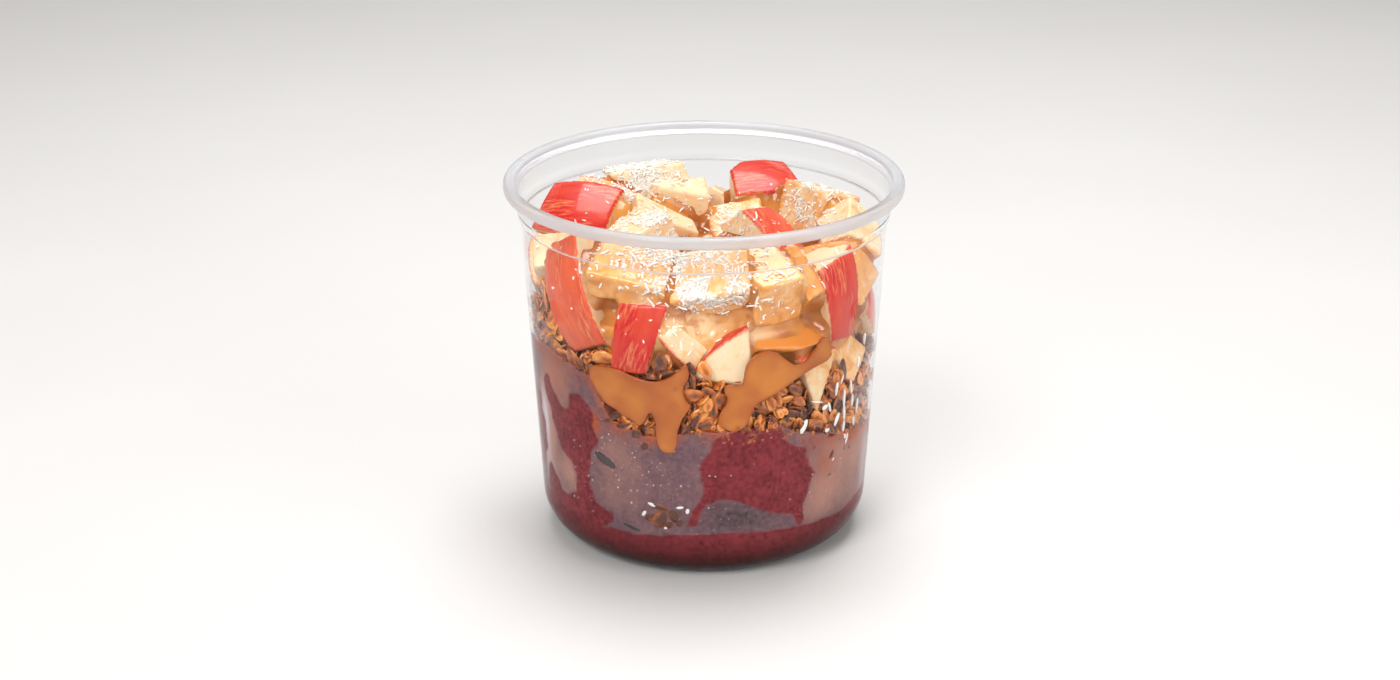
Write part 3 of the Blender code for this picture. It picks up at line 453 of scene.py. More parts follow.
def curved(outline, rounds=2):
    """A closed outline with its corners cut off by turns, so that it curves."""
    points = np.array(outline, float)
    for _ in range(rounds):
        after = np.roll(points, -1, axis=0)
        points = np.stack([0.75 * points + 0.25 * after, 0.25 * points + 0.75 * after], axis=1).reshape(-1, 2)
    return points


def zone_sum(zones, azimuth, up):
    """The sum of soft zones (azimuth, height, half width, half height, amount) at points on the wall."""
    total = np.zeros(np.shape(azimuth))
    for place, middle, half_width, half_height, amount in zones:
        away = (turn_between(place, azimuth) / half_width) ** 2 + ((up - middle) / half_height) ** 2
        total += amount * np.exp(-away)
    return total


def keep_inside(points, reach):
    """Points with those past the cup's inner wall put on it, a little way into the wall."""
    radius = np.hypot(points[:, 0], points[:, 1])
    limit = inner_radius(points[:, 2]) + reach
    shrink = np.minimum(1.0, limit / np.maximum(radius, 1e-9))
    return points * np.stack([shrink, shrink, np.ones_like(shrink)], axis=1)


def add_node(tree, kind, inputs=(), out=None, **settings):
    """Add a node with its settings, fill or link its inputs, and return it or the output asked for.

    Inputs come in the order of the sockets, or in a dictionary by name or number.
    """
    node = tree.nodes.new(kind)
    for name, value in settings.items():
        setattr(node, name, value)
    for name, value in inputs.items() if isinstance(inputs, dict) else enumerate(inputs):
        if isinstance(value, bpy.types.NodeSocket):
            tree.links.new(value, node.inputs[name])
        else:
            node.inputs[name].default_value = value
    return node if out is None else node.outputs[out]


def coats(tree, base, rows):
    """Lay colours over a base one after another and return the last colour's socket.

    Each row is (value, low, high, most, colour): the coat covers nothing where the value is low, and its most
    where it is high.
    """
    for value, low, high, most, over in rows:
        share = add_node(tree, "ShaderNodeMapRange", (value, low, high, 0.0, most), 0)
        over = to_linear(over) if isinstance(over, str) else over
        base = add_node(tree, "ShaderNodeMix", {0: share, 6: base, 7: over}, 2, data_type="RGBA")
    return base


def new_material(name, roughness, **values):
    """A Principled material with plain values, as (material, tree, shader, Object coordinates).

    Object coordinates are in metres, so a pattern of scale 500 on them has grains of 2 mm.
    """
    made = bpy.data.materials.new(name)
    made.use_nodes = True
    shader = made.node_tree.nodes["Principled BSDF"]
    shader.inputs["Roughness"].default_value = roughness
    for key, value in values.items():
        shader.inputs[key.replace("_", " ").title().replace("Ior", "IOR")].default_value = value
    return made, made.node_tree, shader, add_node(made.node_tree, "ShaderNodeTexCoord", out="Object")


def finish_material(tree, shader, base, height, strength, depth):
    """Give a shader its colour, and a bump of a depth in metres from a height."""
    if isinstance(base, bpy.types.NodeSocket):
        tree.links.new(base, shader.inputs["Base Color"])
    else:
        shader.inputs["Base Color"].default_value = base
    bump = add_node(tree, "ShaderNodeBump", {"Height": height, "Strength": strength, "Distance": depth}, 0)
    tree.links.new(bump, shader.inputs["Normal"])


def let_lamps_through(tree, shader, passed):
    """Let light from lamps through a clear material, tinted by what it passes."""
    is_shadow = add_node(tree, "ShaderNodeLightPath", out="Is Shadow Ray")
    clear = add_node(tree, "ShaderNodeBsdfTransparent", {"Color": passed}, 0)
    mixed = add_node(tree, "ShaderNodeMixShader", (is_shadow, shader.outputs[0], clear), 0)
    tree.links.new(mixed, tree.nodes["Material Output"].inputs["Surface"])


def clear_polypropylene(tint):
    """Injection-moulded polypropylene: glassy, with the faint ripple of a thin moulded wall.

    Its IOR is under the real 1.49, so that less of the pale floor is mirrored over what the wall holds.
    """
    made, tree, shader, place = new_material("clear_polypropylene", 0.02, transmission_weight=1.0, ior=1.14)
    swell = add_node(tree, "ShaderNodeTexNoise", {"Vector": place, "Scale": 90.0, "Detail": 1.0}, "Fac")
    finish_material(tree, shader, tint, swell, 0.03, 0.3 * MM)
    let_lamps_through(tree, shader, (0.94, 0.94, 0.95, 1.0))
    return made


def frosted_polypropylene(tint):
    """The rim's polypropylene: thick and textured by the mould, so it scatters light and looks milky."""
    made, tree, shader, place = new_material("frosted_polypropylene", 0.34, transmission_weight=0.72,
                                             ior=1.49)
    frost = add_node(tree, "ShaderNodeTexNoise", {"Vector": place, "Scale": 1800.0, "Detail": 2.0}, "Fac")
    finish_material(tree, shader, tint, frost, 0.12, 0.1 * MM)
    let_lamps_through(tree, shader, (0.8, 0.8, 0.82, 1.0))
    return made


def softened(outline, cut):
    """An outline (r, z) with each inner corner rounded, cutting at most a length off its sides."""
    points = [Vector(p) for p in outline]
    made = [points[0]]
    for before, corner, after in zip(points, points[1:], points[2:]):
        first, second = before - corner, after - corner
        start = corner + first.normalized() * min(cut, first.length * 0.45)
        end = corner + second.normalized() * min(cut, second.length * 0.45)
        for t in (0.0, 0.5, 1.0):
            made.append(start * (1 - t) ** 2 + corner * 2 * t * (1 - t) + end * t * t)
    made.append(points[-1])
    return made


def arc(centre, radius, start, end, steps):
    """Points (r, z) along an arc, angles in degrees from +r."""
    angles = np.radians(np.linspace(start, end, steps + 1))
    return [(centre[0] + radius * math.cos(a), centre[1] + radius * math.sin(a)) for a in angles]


def cup_outline(cup):
    """The wall in section as (r, z): up the outside from the base's middle, over the rim and down inside."""
    top, rim = CUP_TOP[2], CUP_TOP[0]
    corner_centre = (cup.foot_radius - cup.corner_radius, cup.corner_radius)
    ring_inside = corner_centre[0] - cup.foot_ring
    neck_top = top - cup.rim_depth
    shoulder_top = cup.shoulder_height + cup.shoulder_rise
    bead = 1.3 * MM
    outside = [(0.0, cup.base_recess), (ring_inside - cup.base_recess, cup.base_recess), (ring_inside, 0.0)]
    outside += arc(corner_centre, cup.corner_radius, -90, 0, 18)
    slope = [(cup.foot_radius + (cup.top_radius - cup.foot_radius) * t,
              cup.corner_radius + (cup.shoulder_height - cup.corner_radius) * t)
             for t in (0.25, 0.5, 0.75, 1.0)]
    outside += slope
    outside += [(cup.top_radius + 0.75 * MM, cup.shoulder_height + 0.4 * cup.shoulder_rise),
                (cup.top_radius + 0.9 * MM, shoulder_top), (cup.neck_radius, neck_top - 0.3 * MM),
                (rim - bead * 0.5, neck_top)]
    outside += arc((rim - bead, neck_top + bead * 0.8), bead, -40, 0, 3)
    outside += arc((rim - bead, top - bead), bead, 0, 90, 6)
    inside = arc((rim - cup.rim_width + bead, top - bead), bead, 90, 180, 6)
    inside += [(cup.neck_radius - 2.0 * cup.wall, neck_top - 0.4 * MM),
               (cup.top_radius + 0.1 * MM, shoulder_top + 0.2 * MM),
               (cup.top_radius - 0.3 * MM, shoulder_top - 0.35 * cup.shoulder_rise)]
    inside += [(radius - cup.wall, height) for radius, height in reversed(slope)]
    inside += arc(corner_centre, cup.corner_radius - cup.wall, 0, -90, 18)
    floor = cup.wall
    inside += [(ring_inside, floor), (ring_inside - cup.base_recess, floor + cup.base_recess),
               (0.0, floor + cup.base_recess)]
    return softened(outside + inside, 0.25 * MM)


def turned(rings):
    """A closed bmesh from rings of points, with a single point as the first and the last ring."""
    body = bmesh.new()
    made = [[body.verts.new(point) for point in ring] for ring in rings]
    for lower, upper in zip(made, made[1:]):
        count = max(len(lower), len(upper))
        for i in range(count):
            j = (i + 1) % count
            if len(lower) == 1:
                body.faces.new((lower[0], upper[i], upper[j]))
            elif len(upper) == 1:
                body.faces.new((lower[i], upper[0], lower[j]))
            else:
                body.faces.new((lower[i], upper[i], upper[j], lower[j]))
    bmesh.ops.recalc_face_normals(body, faces=body.faces)
    return body


def signed_distance(outline, across, up):
    """Distance in mm from points on the unrolled wall to a closed outline, negative inside it."""
    corners = np.array(outline, float) * (MM_PER_DEGREE, 1.0)
    nearest = np.full(np.shape(across), 1e9)
    inside = np.zeros(np.shape(across), bool)
    for (x0, y0), (x1, y1) in zip(corners, np.roll(corners, -1, axis=0)):
        run_x, run_y = x1 - x0, y1 - y0
        t = np.clip(((across - x0) * run_x + (up - y0) * run_y) / (run_x**2 + run_y**2), 0.0, 1.0)
        nearest = np.minimum(nearest, np.hypot(across - x0 - t * run_x, up - y0 - t * run_y))
        crosses = ((y0 > up) != (y1 > up)) & (across < x0 + (up - y0) * run_x / (y1 - y0 + 1e-12))
        inside ^= crosses
    return np.where(inside, -nearest, nearest)


def pressed_share(points):
    """1 where the acai is pressed on the wall, 0 behind the frosty film, with a narrow step between."""
    azimuth, height = azimuths_of(points), points[:, 2] / MM
    sway = ripple(points, 4.0 * MM, 3.0) * 0.9 + ripple(points, 1.5 * MM, 7.0) * 0.5
    across, up = azimuth * MM_PER_DEGREE + sway, height + ripple(points, 4.0 * MM, 9.0) * 0.8
    drift = ripple(points, 11.0 * MM, 21.0) * 16.0 + ripple(points, 5.0 * MM, 5.0) * 6.0
    nearest = up - BASE_BAND_HEIGHT - 1.2 * np.sin(np.radians(azimuth * 4 + 60))
    for outline in PRESSED_OUTLINES:
        nearest = np.minimum(nearest, signed_distance(curved(outline), across, up))
    for place, middle, half_width, half_height in PRESSED_PATCHES:
        reach = np.hypot(turn_between(place, azimuth + drift) / half_width, (up - middle) / half_height)
        nearest = np.minimum(nearest, (reach - 1.0) * min(half_width, half_height))
    return 1.0 - smoothstep(-0.35, 0.35, nearest)


def acai_blend(settings):
    """Frozen blend on the wall: wine-red pulp where it touches, and a mauve frosty film with dew between."""
    made, tree, shader, place = new_material("frozen_acai_blend", 0.45, specular_ior_level=0.15)
    pulp = add_node(tree, "ShaderNodeTexNoise", {
        "Vector": place, "Scale": 1 / settings.speck_spacing, "Detail": 4.0, "Roughness": 0.7}, "Fac")
    cloud = add_node(tree, "ShaderNodeTexNoise", {"Vector": place, "Scale": 170.0, "Detail": 3.0}, "Fac")
    beads = add_node(tree, "ShaderNodeTexVoronoi", {
        "Vector": place, "Scale": 1 / settings.bead_spacing}, "Distance")
    pressed, fog, frost, juice = [add_node(tree, "ShaderNodeAttribute", out="Fac", attribute_name=name)
                                  for name in ("pressed", "fog", "frost", "juice")]
    drift = add_node(tree, "ShaderNodeMapRange", (cloud, 0.0, 1.0, 0.3, 0.7), 0)
    darkness = add_node(tree, "ShaderNodeMath", (pulp, drift), 0, operation="ADD")
    red = coats(tree, settings.pressed_dark, [(darkness, 0.8, 1.1, 1.0, settings.pressed)])
    sway = add_node(tree, "ShaderNodeMapRange", (cloud, 0.3, 0.7, -0.16, 0.16), 0)
    paleness = add_node(tree, "ShaderNodeMath", (fog, sway), 0, operation="ADD")
    soaked = add_node(tree, "ShaderNodeMapRange", (pulp, 0.3, 0.7, 0.25, 1.2), 0)
    juicy = add_node(tree, "ShaderNodeMath", (juice, soaked), 0, operation="MULTIPLY")
    height = add_node(tree, "ShaderNodeSeparateXYZ", (place,), "Z")
    base = coats(tree, settings.fog, [
        (paleness, 0.0, 1.0, 1.0, settings.fog_pale),
        (paleness, 0.0, -0.8, 1.0, settings.fog_dark),
        # Thick white film; down the wall's left edge it is partly painted reflection
        (frost, 0.0, 1.0, 1.0, "#DDD2D4"),
        (pulp, 0.35, 0.7, 0.22, "#B79C9E"),
        # Pale dots of dew over the film: painted highlights, the glints of the drops
        (beads, 0.11, 0.04, 0.7, "#CDB9B6"),
        (juicy, 0.0, 1.0, 1.0, settings.juice),
        (pressed, 0.0, 1.0, 1.0, red),
        # Painted shade: the blend darkens to a near black red towards the foot, from 16 mm down to 3 mm
        (height, 16.0 * MM, 3.0 * MM, 1.0, "#2A0C0A"),
    ])
    finish_material(tree, shader, base, pulp, 0.25, 0.2 * MM)
    return made


def acai_rings(settings, cup):
    """Rings of the blend: under the base, up the corner and the side, and in over the top."""
    around = np.linspace(0.0, 360.0, settings.columns, endpoint=False)
    corner_centre = cup.foot_radius - cup.corner_radius
    ring_inside = corner_centre - cup.foot_ring
    floor = cup.wall - REACH
    profile = [(ring_inside - cup.base_recess, floor + cup.base_recess), (ring_inside, floor)]
    profile += arc((corner_centre, cup.corner_radius), cup.corner_radius - cup.wall + REACH, -90, 0, 14)
    rings = [on_ring(np.zeros(1), 0.0, floor + cup.base_recess)]
    rings += [on_ring(around, radius, height) for radius, height in profile]
    at_wall = on_ring(around, 50 * MM, 0.0)
    uneven = ripple(at_wall, 6 * MM) * 1.2 + ripple(at_wall, 2.2 * MM) * 0.6
    edge = edge_height(ACAI_EDGE, around) + uneven * MM
    for row in range(1, settings.rows + 1):
        height = cup.corner_radius + (edge - cup.corner_radius) * row / settings.rows
        rings.append(on_ring(around, inner_radius(height) + REACH, height))
    for inward in (0.985, 0.95, 0.85, 0.6, 0.3):
        weight = inward * inward * (3.0 - 2.0 * inward)
        height = ACAI_CENTRE_HEIGHT + (edge - ACAI_CENTRE_HEIGHT) * weight
        rings.append(on_ring(around, inner_radius(edge) * inward, height))
    rings.append(on_ring(np.zeros(1), 0.0, ACAI_CENTRE_HEIGHT))
    return rings


def cut_flat(solid, normal, distance):
    """Cut a convex bmesh by a plane and close it, keeping the side under the plane."""
    everything = solid.verts[:] + solid.edges[:] + solid.faces[:]
    cut = bmesh.ops.bisect_plane(solid, geom=everything, dist=1e-7, plane_co=Vector(normal) * distance,
                                 plane_no=Vector(normal), clear_outer=True)
    edges = [part for part in cut["geom_cut"] if isinstance(part, bmesh.types.BMEdge)]
    if edges:
        bmesh.ops.edgeloop_fill(solid, edges=edges)


def broad_planes(node, least_area):
    """The planes (normal, distance) of a node's larger faces, each once."""
    flat, same_way, same_place = math.radians(0.8), 0.9995, 0.1 * MM
    shape = bmesh.new()
    shape.from_mesh(node.data)
    bmesh.ops.remove_doubles(shape, verts=shape.verts, dist=WELD)
    bmesh.ops.dissolve_limit(shape, angle_limit=flat, verts=shape.verts, edges=shape.edges)
    found = []
    for face in sorted(shape.faces, key=lambda f: -f.calc_area()):
        if face.calc_area() < least_area:
            break
        normal = np.array(face.normal)
        distance = float(normal @ np.array(face.calc_center_median()))
        if all(normal @ n < same_way or abs(distance - d) > same_place for n, d in found):
            found.append((normal, distance))
    shape.free()
    return found


def apple_middle(planes, radius):
    """The middle of the apple a chunk came from, and which planes are facets of its skin.

    A facet lies a little less than the radius from the middle, so the middle is where most planes agree.
    """
    facet_share, least_facets = 0.985, 4
    # How skew three planes must be to give a clear corner, how close to it the others must pass, and how far
    # they must look the same way
    least_skew, near, least_facing = 0.012, 0.3 * MM, 0.6
    normals = np.array([n for n, _ in planes])
    offsets = np.array([d for _, d in planes]) - facet_share * radius
    trios = np.array(list(itertools.combinations(range(len(planes)), 3)))
    sets = normals[trios]
    clear = np.abs(np.linalg.det(sets)) > least_skew
    trios, sets = trios[clear], sets[clear]
    if not len(trios):
        return None, np.zeros(len(planes), bool)
    middles = np.linalg.solve(sets, offsets[trios][..., None])[..., 0]
    agree = np.abs(middles @ normals.T - offsets) < near
    one_side = np.einsum("ij,kj->ki", normals, normals[trios].mean(axis=1)) > least_facing
    counts = (agree & one_side).sum(axis=1)
    best = int(np.argmax(counts))
    if counts[best] < least_facets:
        return None, np.zeros(len(planes), bool)
    skin = agree[best] & one_side[best]
    middle = np.linalg.lstsq(normals[skin], offsets[skin], rcond=None)[0]
    return middle, skin


def chunk_solid(node, apple, fine_apple):
    """A chunk's true shape as a bmesh, round where the node's skin is faceted, and its apple's middle."""
    least_face, large = 9 * MM**2, 300 * MM
    planes = broad_planes(node, least_face)
    middle, skin = apple_middle(planes, apple.apple_radius)
    if middle is None:
        solid = bmesh.new()
        bmesh.ops.create_cube(solid, size=large)
    else:
        solid = fine_apple.copy()
        bmesh.ops.translate(solid, vec=Vector(middle), verts=solid.verts)
    for (normal, distance), is_skin in zip(planes, skin):
        if not is_skin:
            cut_flat(solid, normal, distance)
    return solid, middle


# How much caramel coats a chunk and how red its skin is, for those that the photo shows best
CHUNK_LOOKS = {
    1: (0.15, 0.35), 2: (0.05, 1.0), 3: (0.0, 0.8), 4: (0.15, 0.95), 5: (0.9, 0.5), 6: (0.6, 0.5),
    7: (0.85, 0.5), 8: (1.0, 0.5), 9: (0.5, 0.5), 10: (1.6, 0.6), 11: (0.25, 0.5), 12: (0.55, 0.5),
    13: (0.3, 0.5), 14: (0.75, 0.5), 15: (0.1, 1.0), 16: (0.5, 0.5), 17: (0.05, 0.5), 18: (0.15, 0.5),
    21: (0.15, 1.0), 22: (0.5, 0.5), 23: (0.15, 0.6),
}


def apple_material(apple):
    """Cut apple: wet cream flesh that light enters, streaked red skin, and caramel thickest in the clefts."""
    made, tree, shader, place = new_material("cut_apple", 0.3, coat_weight=0.35, coat_roughness=0.08,
                                             subsurface_weight=0.25, subsurface_scale=1.5 * MM, ior=1.38)
    shader.inputs["Subsurface Radius"].default_value = (1.0, 0.7, 0.35)
    peel = add_node(tree, "ShaderNodeUVMap", out="UV", uv_map="peel")
    # Streaks 1 mm wide and bands 6 mm wide run along the skin
    fine = add_node(tree, "ShaderNodeMapping", {"Vector": peel, "Scale": (900.0, 170.0, 1.0)}, 0)
    broad = add_node(tree, "ShaderNodeMapping", {"Vector": peel, "Scale": (170.0, 35.0, 1.0)}, 0)
    fibre, tone, streaks, bands, pool, crumbs = [
        add_node(tree, "ShaderNodeTexNoise", {"Vector": vector, "Scale": scale, "Detail": detail,
                                              "Roughness": roughness, "Distortion": distortion}, "Fac")
        for vector, scale, detail, roughness, distortion in (
            (place, 520.0, 4.0, 0.65, 0.0), (place, 85.0, 3.0, 0.5, 0.0), (fine, 1.0, 4.0, 0.7, 0.0),
            (broad, 1.0, 2.0, 0.5, 0.0), (place, 190.0, 4.0, 0.6, 1.2), (place, 900.0, 3.0, 0.7, 0.0))]
    specks = add_node(tree, "ShaderNodeTexVoronoi", {"Vector": place, "Scale": 650.0}, "Distance")
    is_skin, ripe, glaze, dust = [add_node(tree, "ShaderNodeAttribute", out="Fac", attribute_name=name)
                                  for name in ("skin", "ripe", "glaze", "dust")]
    depth = add_node(tree, "ShaderNodeMath", (fibre, tone), 0, operation="MULTIPLY")
    band_share = add_node(tree, "ShaderNodeMapRange", (bands, 0.3, 0.7, -0.5, 0.5), 0)
    streak_share = add_node(tree, "ShaderNodeMapRange", (streaks, 0.25, 0.75, -0.35, 0.35), 0)
    banded = add_node(tree, "ShaderNodeMath", (ripe, band_share), 0, operation="ADD")
    mottled = add_node(tree, "ShaderNodeMath", (banded, streak_share), 0, operation="ADD")
    both = add_node(tree, "ShaderNodeMath", (streaks, bands), 0, operation="MULTIPLY")
    skin = coats(tree, apple.coral, [
        (mottled, 0.0, 1.0, 1.0, apple.red),
        (streaks, 0.44, 0.64, 0.5, "#E8503C"),
        (both, 0.27, 0.42, 0.6, apple.streak),
        (specks, 0.17, 0.08, 0.45, "#7E1410"),
    ])
    level = add_node(tree, "ShaderNodeMath", (pool, glaze), 0, operation="ADD")
    # Caramel and coconut hold to the flesh and slide off most of the skin
    hold = add_node(tree, "ShaderNodeMapRange", (is_skin, 0.0, 1.0, 0.0, -0.35), 0)
    held = add_node(tree, "ShaderNodeMath", (level, hold), 0, operation="ADD")
    loose = add_node(tree, "ShaderNodeMapRange", (crumbs, 0.36, 0.5), 0)
    dusted = add_node(tree, "ShaderNodeMath", (loose, dust), 0, operation="MULTIPLY")
    base = coats(tree, apple.flesh, [
        (depth, 0.2, 0.4, 0.55, apple.flesh_deep),
        (is_skin, 0.0, 1.0, 1.0, skin),
        (held, 0.62, 0.85, 0.8, apple.glaze),
        (held, 0.9, 1.15, 0.85, apple.thick_glaze),
        (dusted, 0.0, 1.0, 1.0, "#F8F2E6"),
    ])
    wet = add_node(tree, "ShaderNodeMapRange", (level, 0.7, 1.0, 0.36, 0.15), 0)
    tree.links.new(wet, shader.inputs["Roughness"])
    relief = add_node(tree, "ShaderNodeMath", (fibre, 0.3, pool), 0, operation="MULTIPLY_ADD")
    finish_material(tree, shader, base, relief, 0.2, 0.4 * MM)
    return made


def coconut_cover(points, normals):
    """How thick coconut lies at points: by the table of spots, on faces that look up or out."""
    amount = np.zeros(len(points))
    for middle, radii, thickness in COCONUT_SPOTS:
        away = (((points / MM - middle) / radii) ** 2).sum(axis=1)
        amount = np.maximum(amount, thickness * np.exp(-away))
    facing = np.maximum(smoothstep(0.0, 0.5, normals[:, 2]), smoothstep(0.5, 0.9, -normals[:, 1]) * 0.8)
    patches = smoothstep(-0.6, 0.2, ripple(points, 5 * MM, 12.0))
    return np.clip(amount * facing * patches, 0.0, 1.0)


def tree_of(meshes):
    """A search tree over the faces of several meshes."""
    points, faces = [], []
    for mesh in meshes:
        start = len(points)
        points += [vert.co.copy() for vert in mesh.vertices]
        faces += [[start + index for index in face.vertices] for face in mesh.polygons]
    return BVHTree.FromPolygons(points, faces)


def distance_outside(tree, points):
    """Distance from points to a closed surface, negative for those inside it."""
    away = []
    for point in points:
        spot, normal, _, distance = tree.find_nearest(Vector(point))
        away.append(distance if (Vector(point) - spot).dot(normal) > 0.0 else -distance)
    return np.array(away)


def peel_coordinates(points, middle, radius):
    """Places on the peel in metres: across and along the streaks, which run the way the skin is longest."""
    out = (points - middle) / np.linalg.norm(points - middle, axis=1, keepdims=True)
    on_skin = out[np.linalg.norm(points - middle, axis=1) > radius - 0.6 * MM]
    facing = on_skin.mean(axis=0) if len(on_skin) else out.mean(axis=0)
    facing /= np.linalg.norm(facing)
    spread = on_skin - np.outer(on_skin @ facing, facing)
    along = np.array((0.0, 0.0, 1.0))
    if len(on_skin) > 3:
        along = np.linalg.svd(spread, full_matrices=False)[2][0]
    along -= facing * (along @ facing)
    along /= np.linalg.norm(along)
    across = np.cross(along, facing)
    return np.arctan2(out @ across, out @ facing) * radius, np.arcsin(np.clip(out @ along, -1, 1)) * radius


def finish_chunk(mesh, middle, number, apple, draw, others):
    """Knife marks, the shares of skin and glaze, and places on the peel, on a remeshed chunk.

    Caramel gathers where other chunks are near.
    """
    points, normals = points_of(mesh), normals_of(mesh)
    if middle is None:
        skin = np.zeros(len(points))
        across, along = points[:, 0], points[:, 2]
    else:
        depth = apple.apple_radius - np.linalg.norm(points - middle, axis=1)
        skin = 1.0 - smoothstep(apple.skin_depth, apple.skin_depth + 0.3 * MM, depth)
        across, along = peel_coordinates(points, middle, apple.apple_radius)
    rough = ripple(points, 7 * MM, number) * 0.7 + ripple(points, 2.2 * MM, -number) * 0.3
    points = points + normals * (rough * apple.unevenness * (1.0 - 0.7 * skin) + 0.1 * MM)[:, None]
    points = keep_inside(points, REACH * 0.5)
    set_points(mesh, points)
    glaze, ripe = CHUNK_LOOKS.get(number, (draw.uniform(0.2, 0.7), draw.uniform(0.3, 1.0)))
    away = np.array([others.find_nearest(Vector(point))[3] for point in points])
    set_attribute(mesh, "skin", skin)
    set_attribute(mesh, "dust", coconut_cover(points, normals) * (1.0 - 0.9 * skin))
    set_attribute(mesh, "ripe", np.full(len(points), ripe))
    set_attribute(mesh, "glaze", glaze * 0.5 + 0.3 * np.exp(-away / (1.3 * MM)))
    layer = mesh.uv_layers.new(name="peel")
    corners = np.empty(len(mesh.loops), int)
    mesh.loops.foreach_get("vertex_index", corners)
    places = np.stack([across, along], axis=1)[corners]
    layer.data.foreach_set("uv", places.astype(np.float32).ravel())


def caramel_material(name, caramel, thick, thin):
    """Caramel sauce: thick, glossy and cloudy, redder at its rim and paler where it is spread over flesh."""
    made, tree, shader, place = new_material(name, 0.2, coat_weight=0.25, coat_roughness=0.06,
                                             subsurface_weight=0.12, subsurface_scale=1.5 * MM, ior=1.48)
    shader.inputs["Subsurface Radius"].default_value = (1.0, 0.55, 0.2)
    cloud = add_node(tree, "ShaderNodeTexNoise", {"Vector": place, "Scale": 90.0, "Detail": 2.0}, "Fac")
    swirl = add_node(tree, "ShaderNodeTexNoise", {"Vector": place, "Scale": 240.0, "Detail": 4.0,
                                                  "Distortion": 1.0}, "Fac")
    specks = add_node(tree, "ShaderNodeTexVoronoi", {"Vector": place, "Scale": 110.0}, "Distance")
    spread, rim = [add_node(tree, "ShaderNodeAttribute", out="Fac", attribute_name=key)
                   for key in ("thin", "rim")]
    patchy = add_node(tree, "ShaderNodeMapRange", (swirl, 0.42, 0.56, 0.35, 1.0), 0)
    thinned = add_node(tree, "ShaderNodeMath", (spread, patchy), 0, operation="MULTIPLY")
    base = coats(tree, thick, [
        (cloud, 0.35, 0.65, 1.0, thin),
        (thinned, 0.0, 1.0, 1.0, caramel.spread),
        (rim, 0.25, 1.0, 0.7, "#A04312"),
        (specks, 0.15, 0.08, 0.6, "#8A3A12"),
    ])
    finish_material(tree, shader, base, cloud, 0.08, 0.3 * MM)
    return made


def bent_on_wall(shape, outside, depth):
    """Bend a flat shape of (azimuth, height in mm) round the wall and give it a depth inward."""
    back = bmesh.ops.extrude_face_region(shape, geom=shape.faces[:])
    raised = {part for part in back["geom"] if isinstance(part, bmesh.types.BMVert)}
    for vert in shape.verts:
        height = vert.co.y * MM
        radius = inner_radius(height) + outside - (depth if vert in raised else 0.0)
        vert.co = Vector(on_ring(vert.co.x, radius, height))
    bmesh.ops.recalc_face_normals(shape, faces=shape.faces)


def pool_mesh(name, outline, caramel):
    """A pool of sauce on the wall from its outline, flat where it meets the wall and rounded behind."""
    sheet = bmesh.new()
    sheet.faces.new([sheet.verts.new((azimuth, height, 0.0)) for azimuth, height in curved(outline, 1)])
    low, high = curved(outline).min(axis=0), curved(outline).max(axis=0)
    # Cut into a grid, so that it bends with the wall
    step = 2.0
    for axis in (0, 1):
        for line in np.arange(low[axis] + step / 2, high[axis], step):
            everything = sheet.verts[:] + sheet.edges[:] + sheet.faces[:]
            across = Vector((1.0 - axis, axis, 0.0))
            bmesh.ops.bisect_plane(sheet, geom=everything, dist=1e-6, plane_co=across * line, plane_no=across)
    bmesh.ops.triangulate(sheet, faces=sheet.faces)
    bent_on_wall(sheet, 2 * SAUCE_REACH, caramel.thickness + 2 * SAUCE_REACH)
    mesh = remeshed(mesh_of(sheet, name), caramel.grain, 5)
    points = keep_inside(points_of(mesh), SAUCE_REACH)
    set_points(mesh, points)
    middle = np.mean([azimuth for azimuth, _ in outline])
    across = (middle + turn_between(middle, azimuths_of(points))) * MM_PER_DEGREE
    set_attribute(mesh, "rim", np.exp(signed_distance(curved(outline), across, points[:, 2] / MM) / 1.3))
    return mesh


def bit_on_wall(solid, azimuth, height, turn, size, sunk):
    """Place a small shape of unit size on the wall, turned about the wall's normal and pressed flat."""
    centre = Vector(on_ring(azimuth, inner_radius(height * MM) - sunk, height * MM))
    face = Matrix.Rotation(math.radians(azimuth), 4, "Z") @ Matrix.Rotation(math.radians(90), 4, "X")
    place = Matrix.Translation(centre) @ face @ Matrix.Rotation(math.radians(turn), 4, "Z")
    solid.transform(place @ Matrix.Diagonal((*size, 1.0)))


def bits_on_wall(name, rows, make_shape, thickness, sunk, reach):
    """One mesh of small shapes pressed on the wall, one for each row of a table."""
    whole = bmesh.new()
    for azimuth, height, turn, long_side, short_side in rows:
        shape = mesh_of(make_shape(), name)
        bit_on_wall(shape, azimuth, height, turn, (long_side * MM, short_side * MM, thickness), sunk)
        set_points(shape, keep_inside(points_of(shape), reach))
        whole.from_mesh(shape)
        bpy.data.meshes.remove(shape)
    return mesh_of(whole, name)


def oat_mesh(sizes, draw):
    """A rolled oat: a thin oval, creased down its middle and a little curled, with its rim marked."""
    oat = bmesh.new()
    bmesh.ops.create_icosphere(oat, subdivisions=2, radius=1.0)
    rim = oat.verts.layers.float.new("rim")
    curl, lean = draw.uniform(-0.3, 0.4), draw.uniform(-0.2, 0.2)
    for vert in oat.verts:
        x, y, z = vert.co
        # The rim mark is highest at the rim and lowest down the crease, where the material paints shade
        vert[rim] = math.hypot(x, y) ** 3 - math.exp(-((y / 0.16) ** 2)) * 0.8
        edge = 1.0 + 0.1 * math.sin(3.0 * math.atan2(y, x) + curl * 9)
        crease = 0.4 * math.exp(-((y / 0.16) ** 2))
        vert.co = Vector((x * edge * sizes[0] / 2, y * edge * sizes[1] / 2,
                          (z * (1.0 - crease) * 0.5 + curl * (x * x - 0.3) + lean * y) * sizes[2]))
    return oat


def unit_ball(fineness):
    """A ball 1 across."""
    ball = bmesh.new()
    bmesh.ops.create_icosphere(ball, subdivisions=fineness, radius=0.5)
    return ball


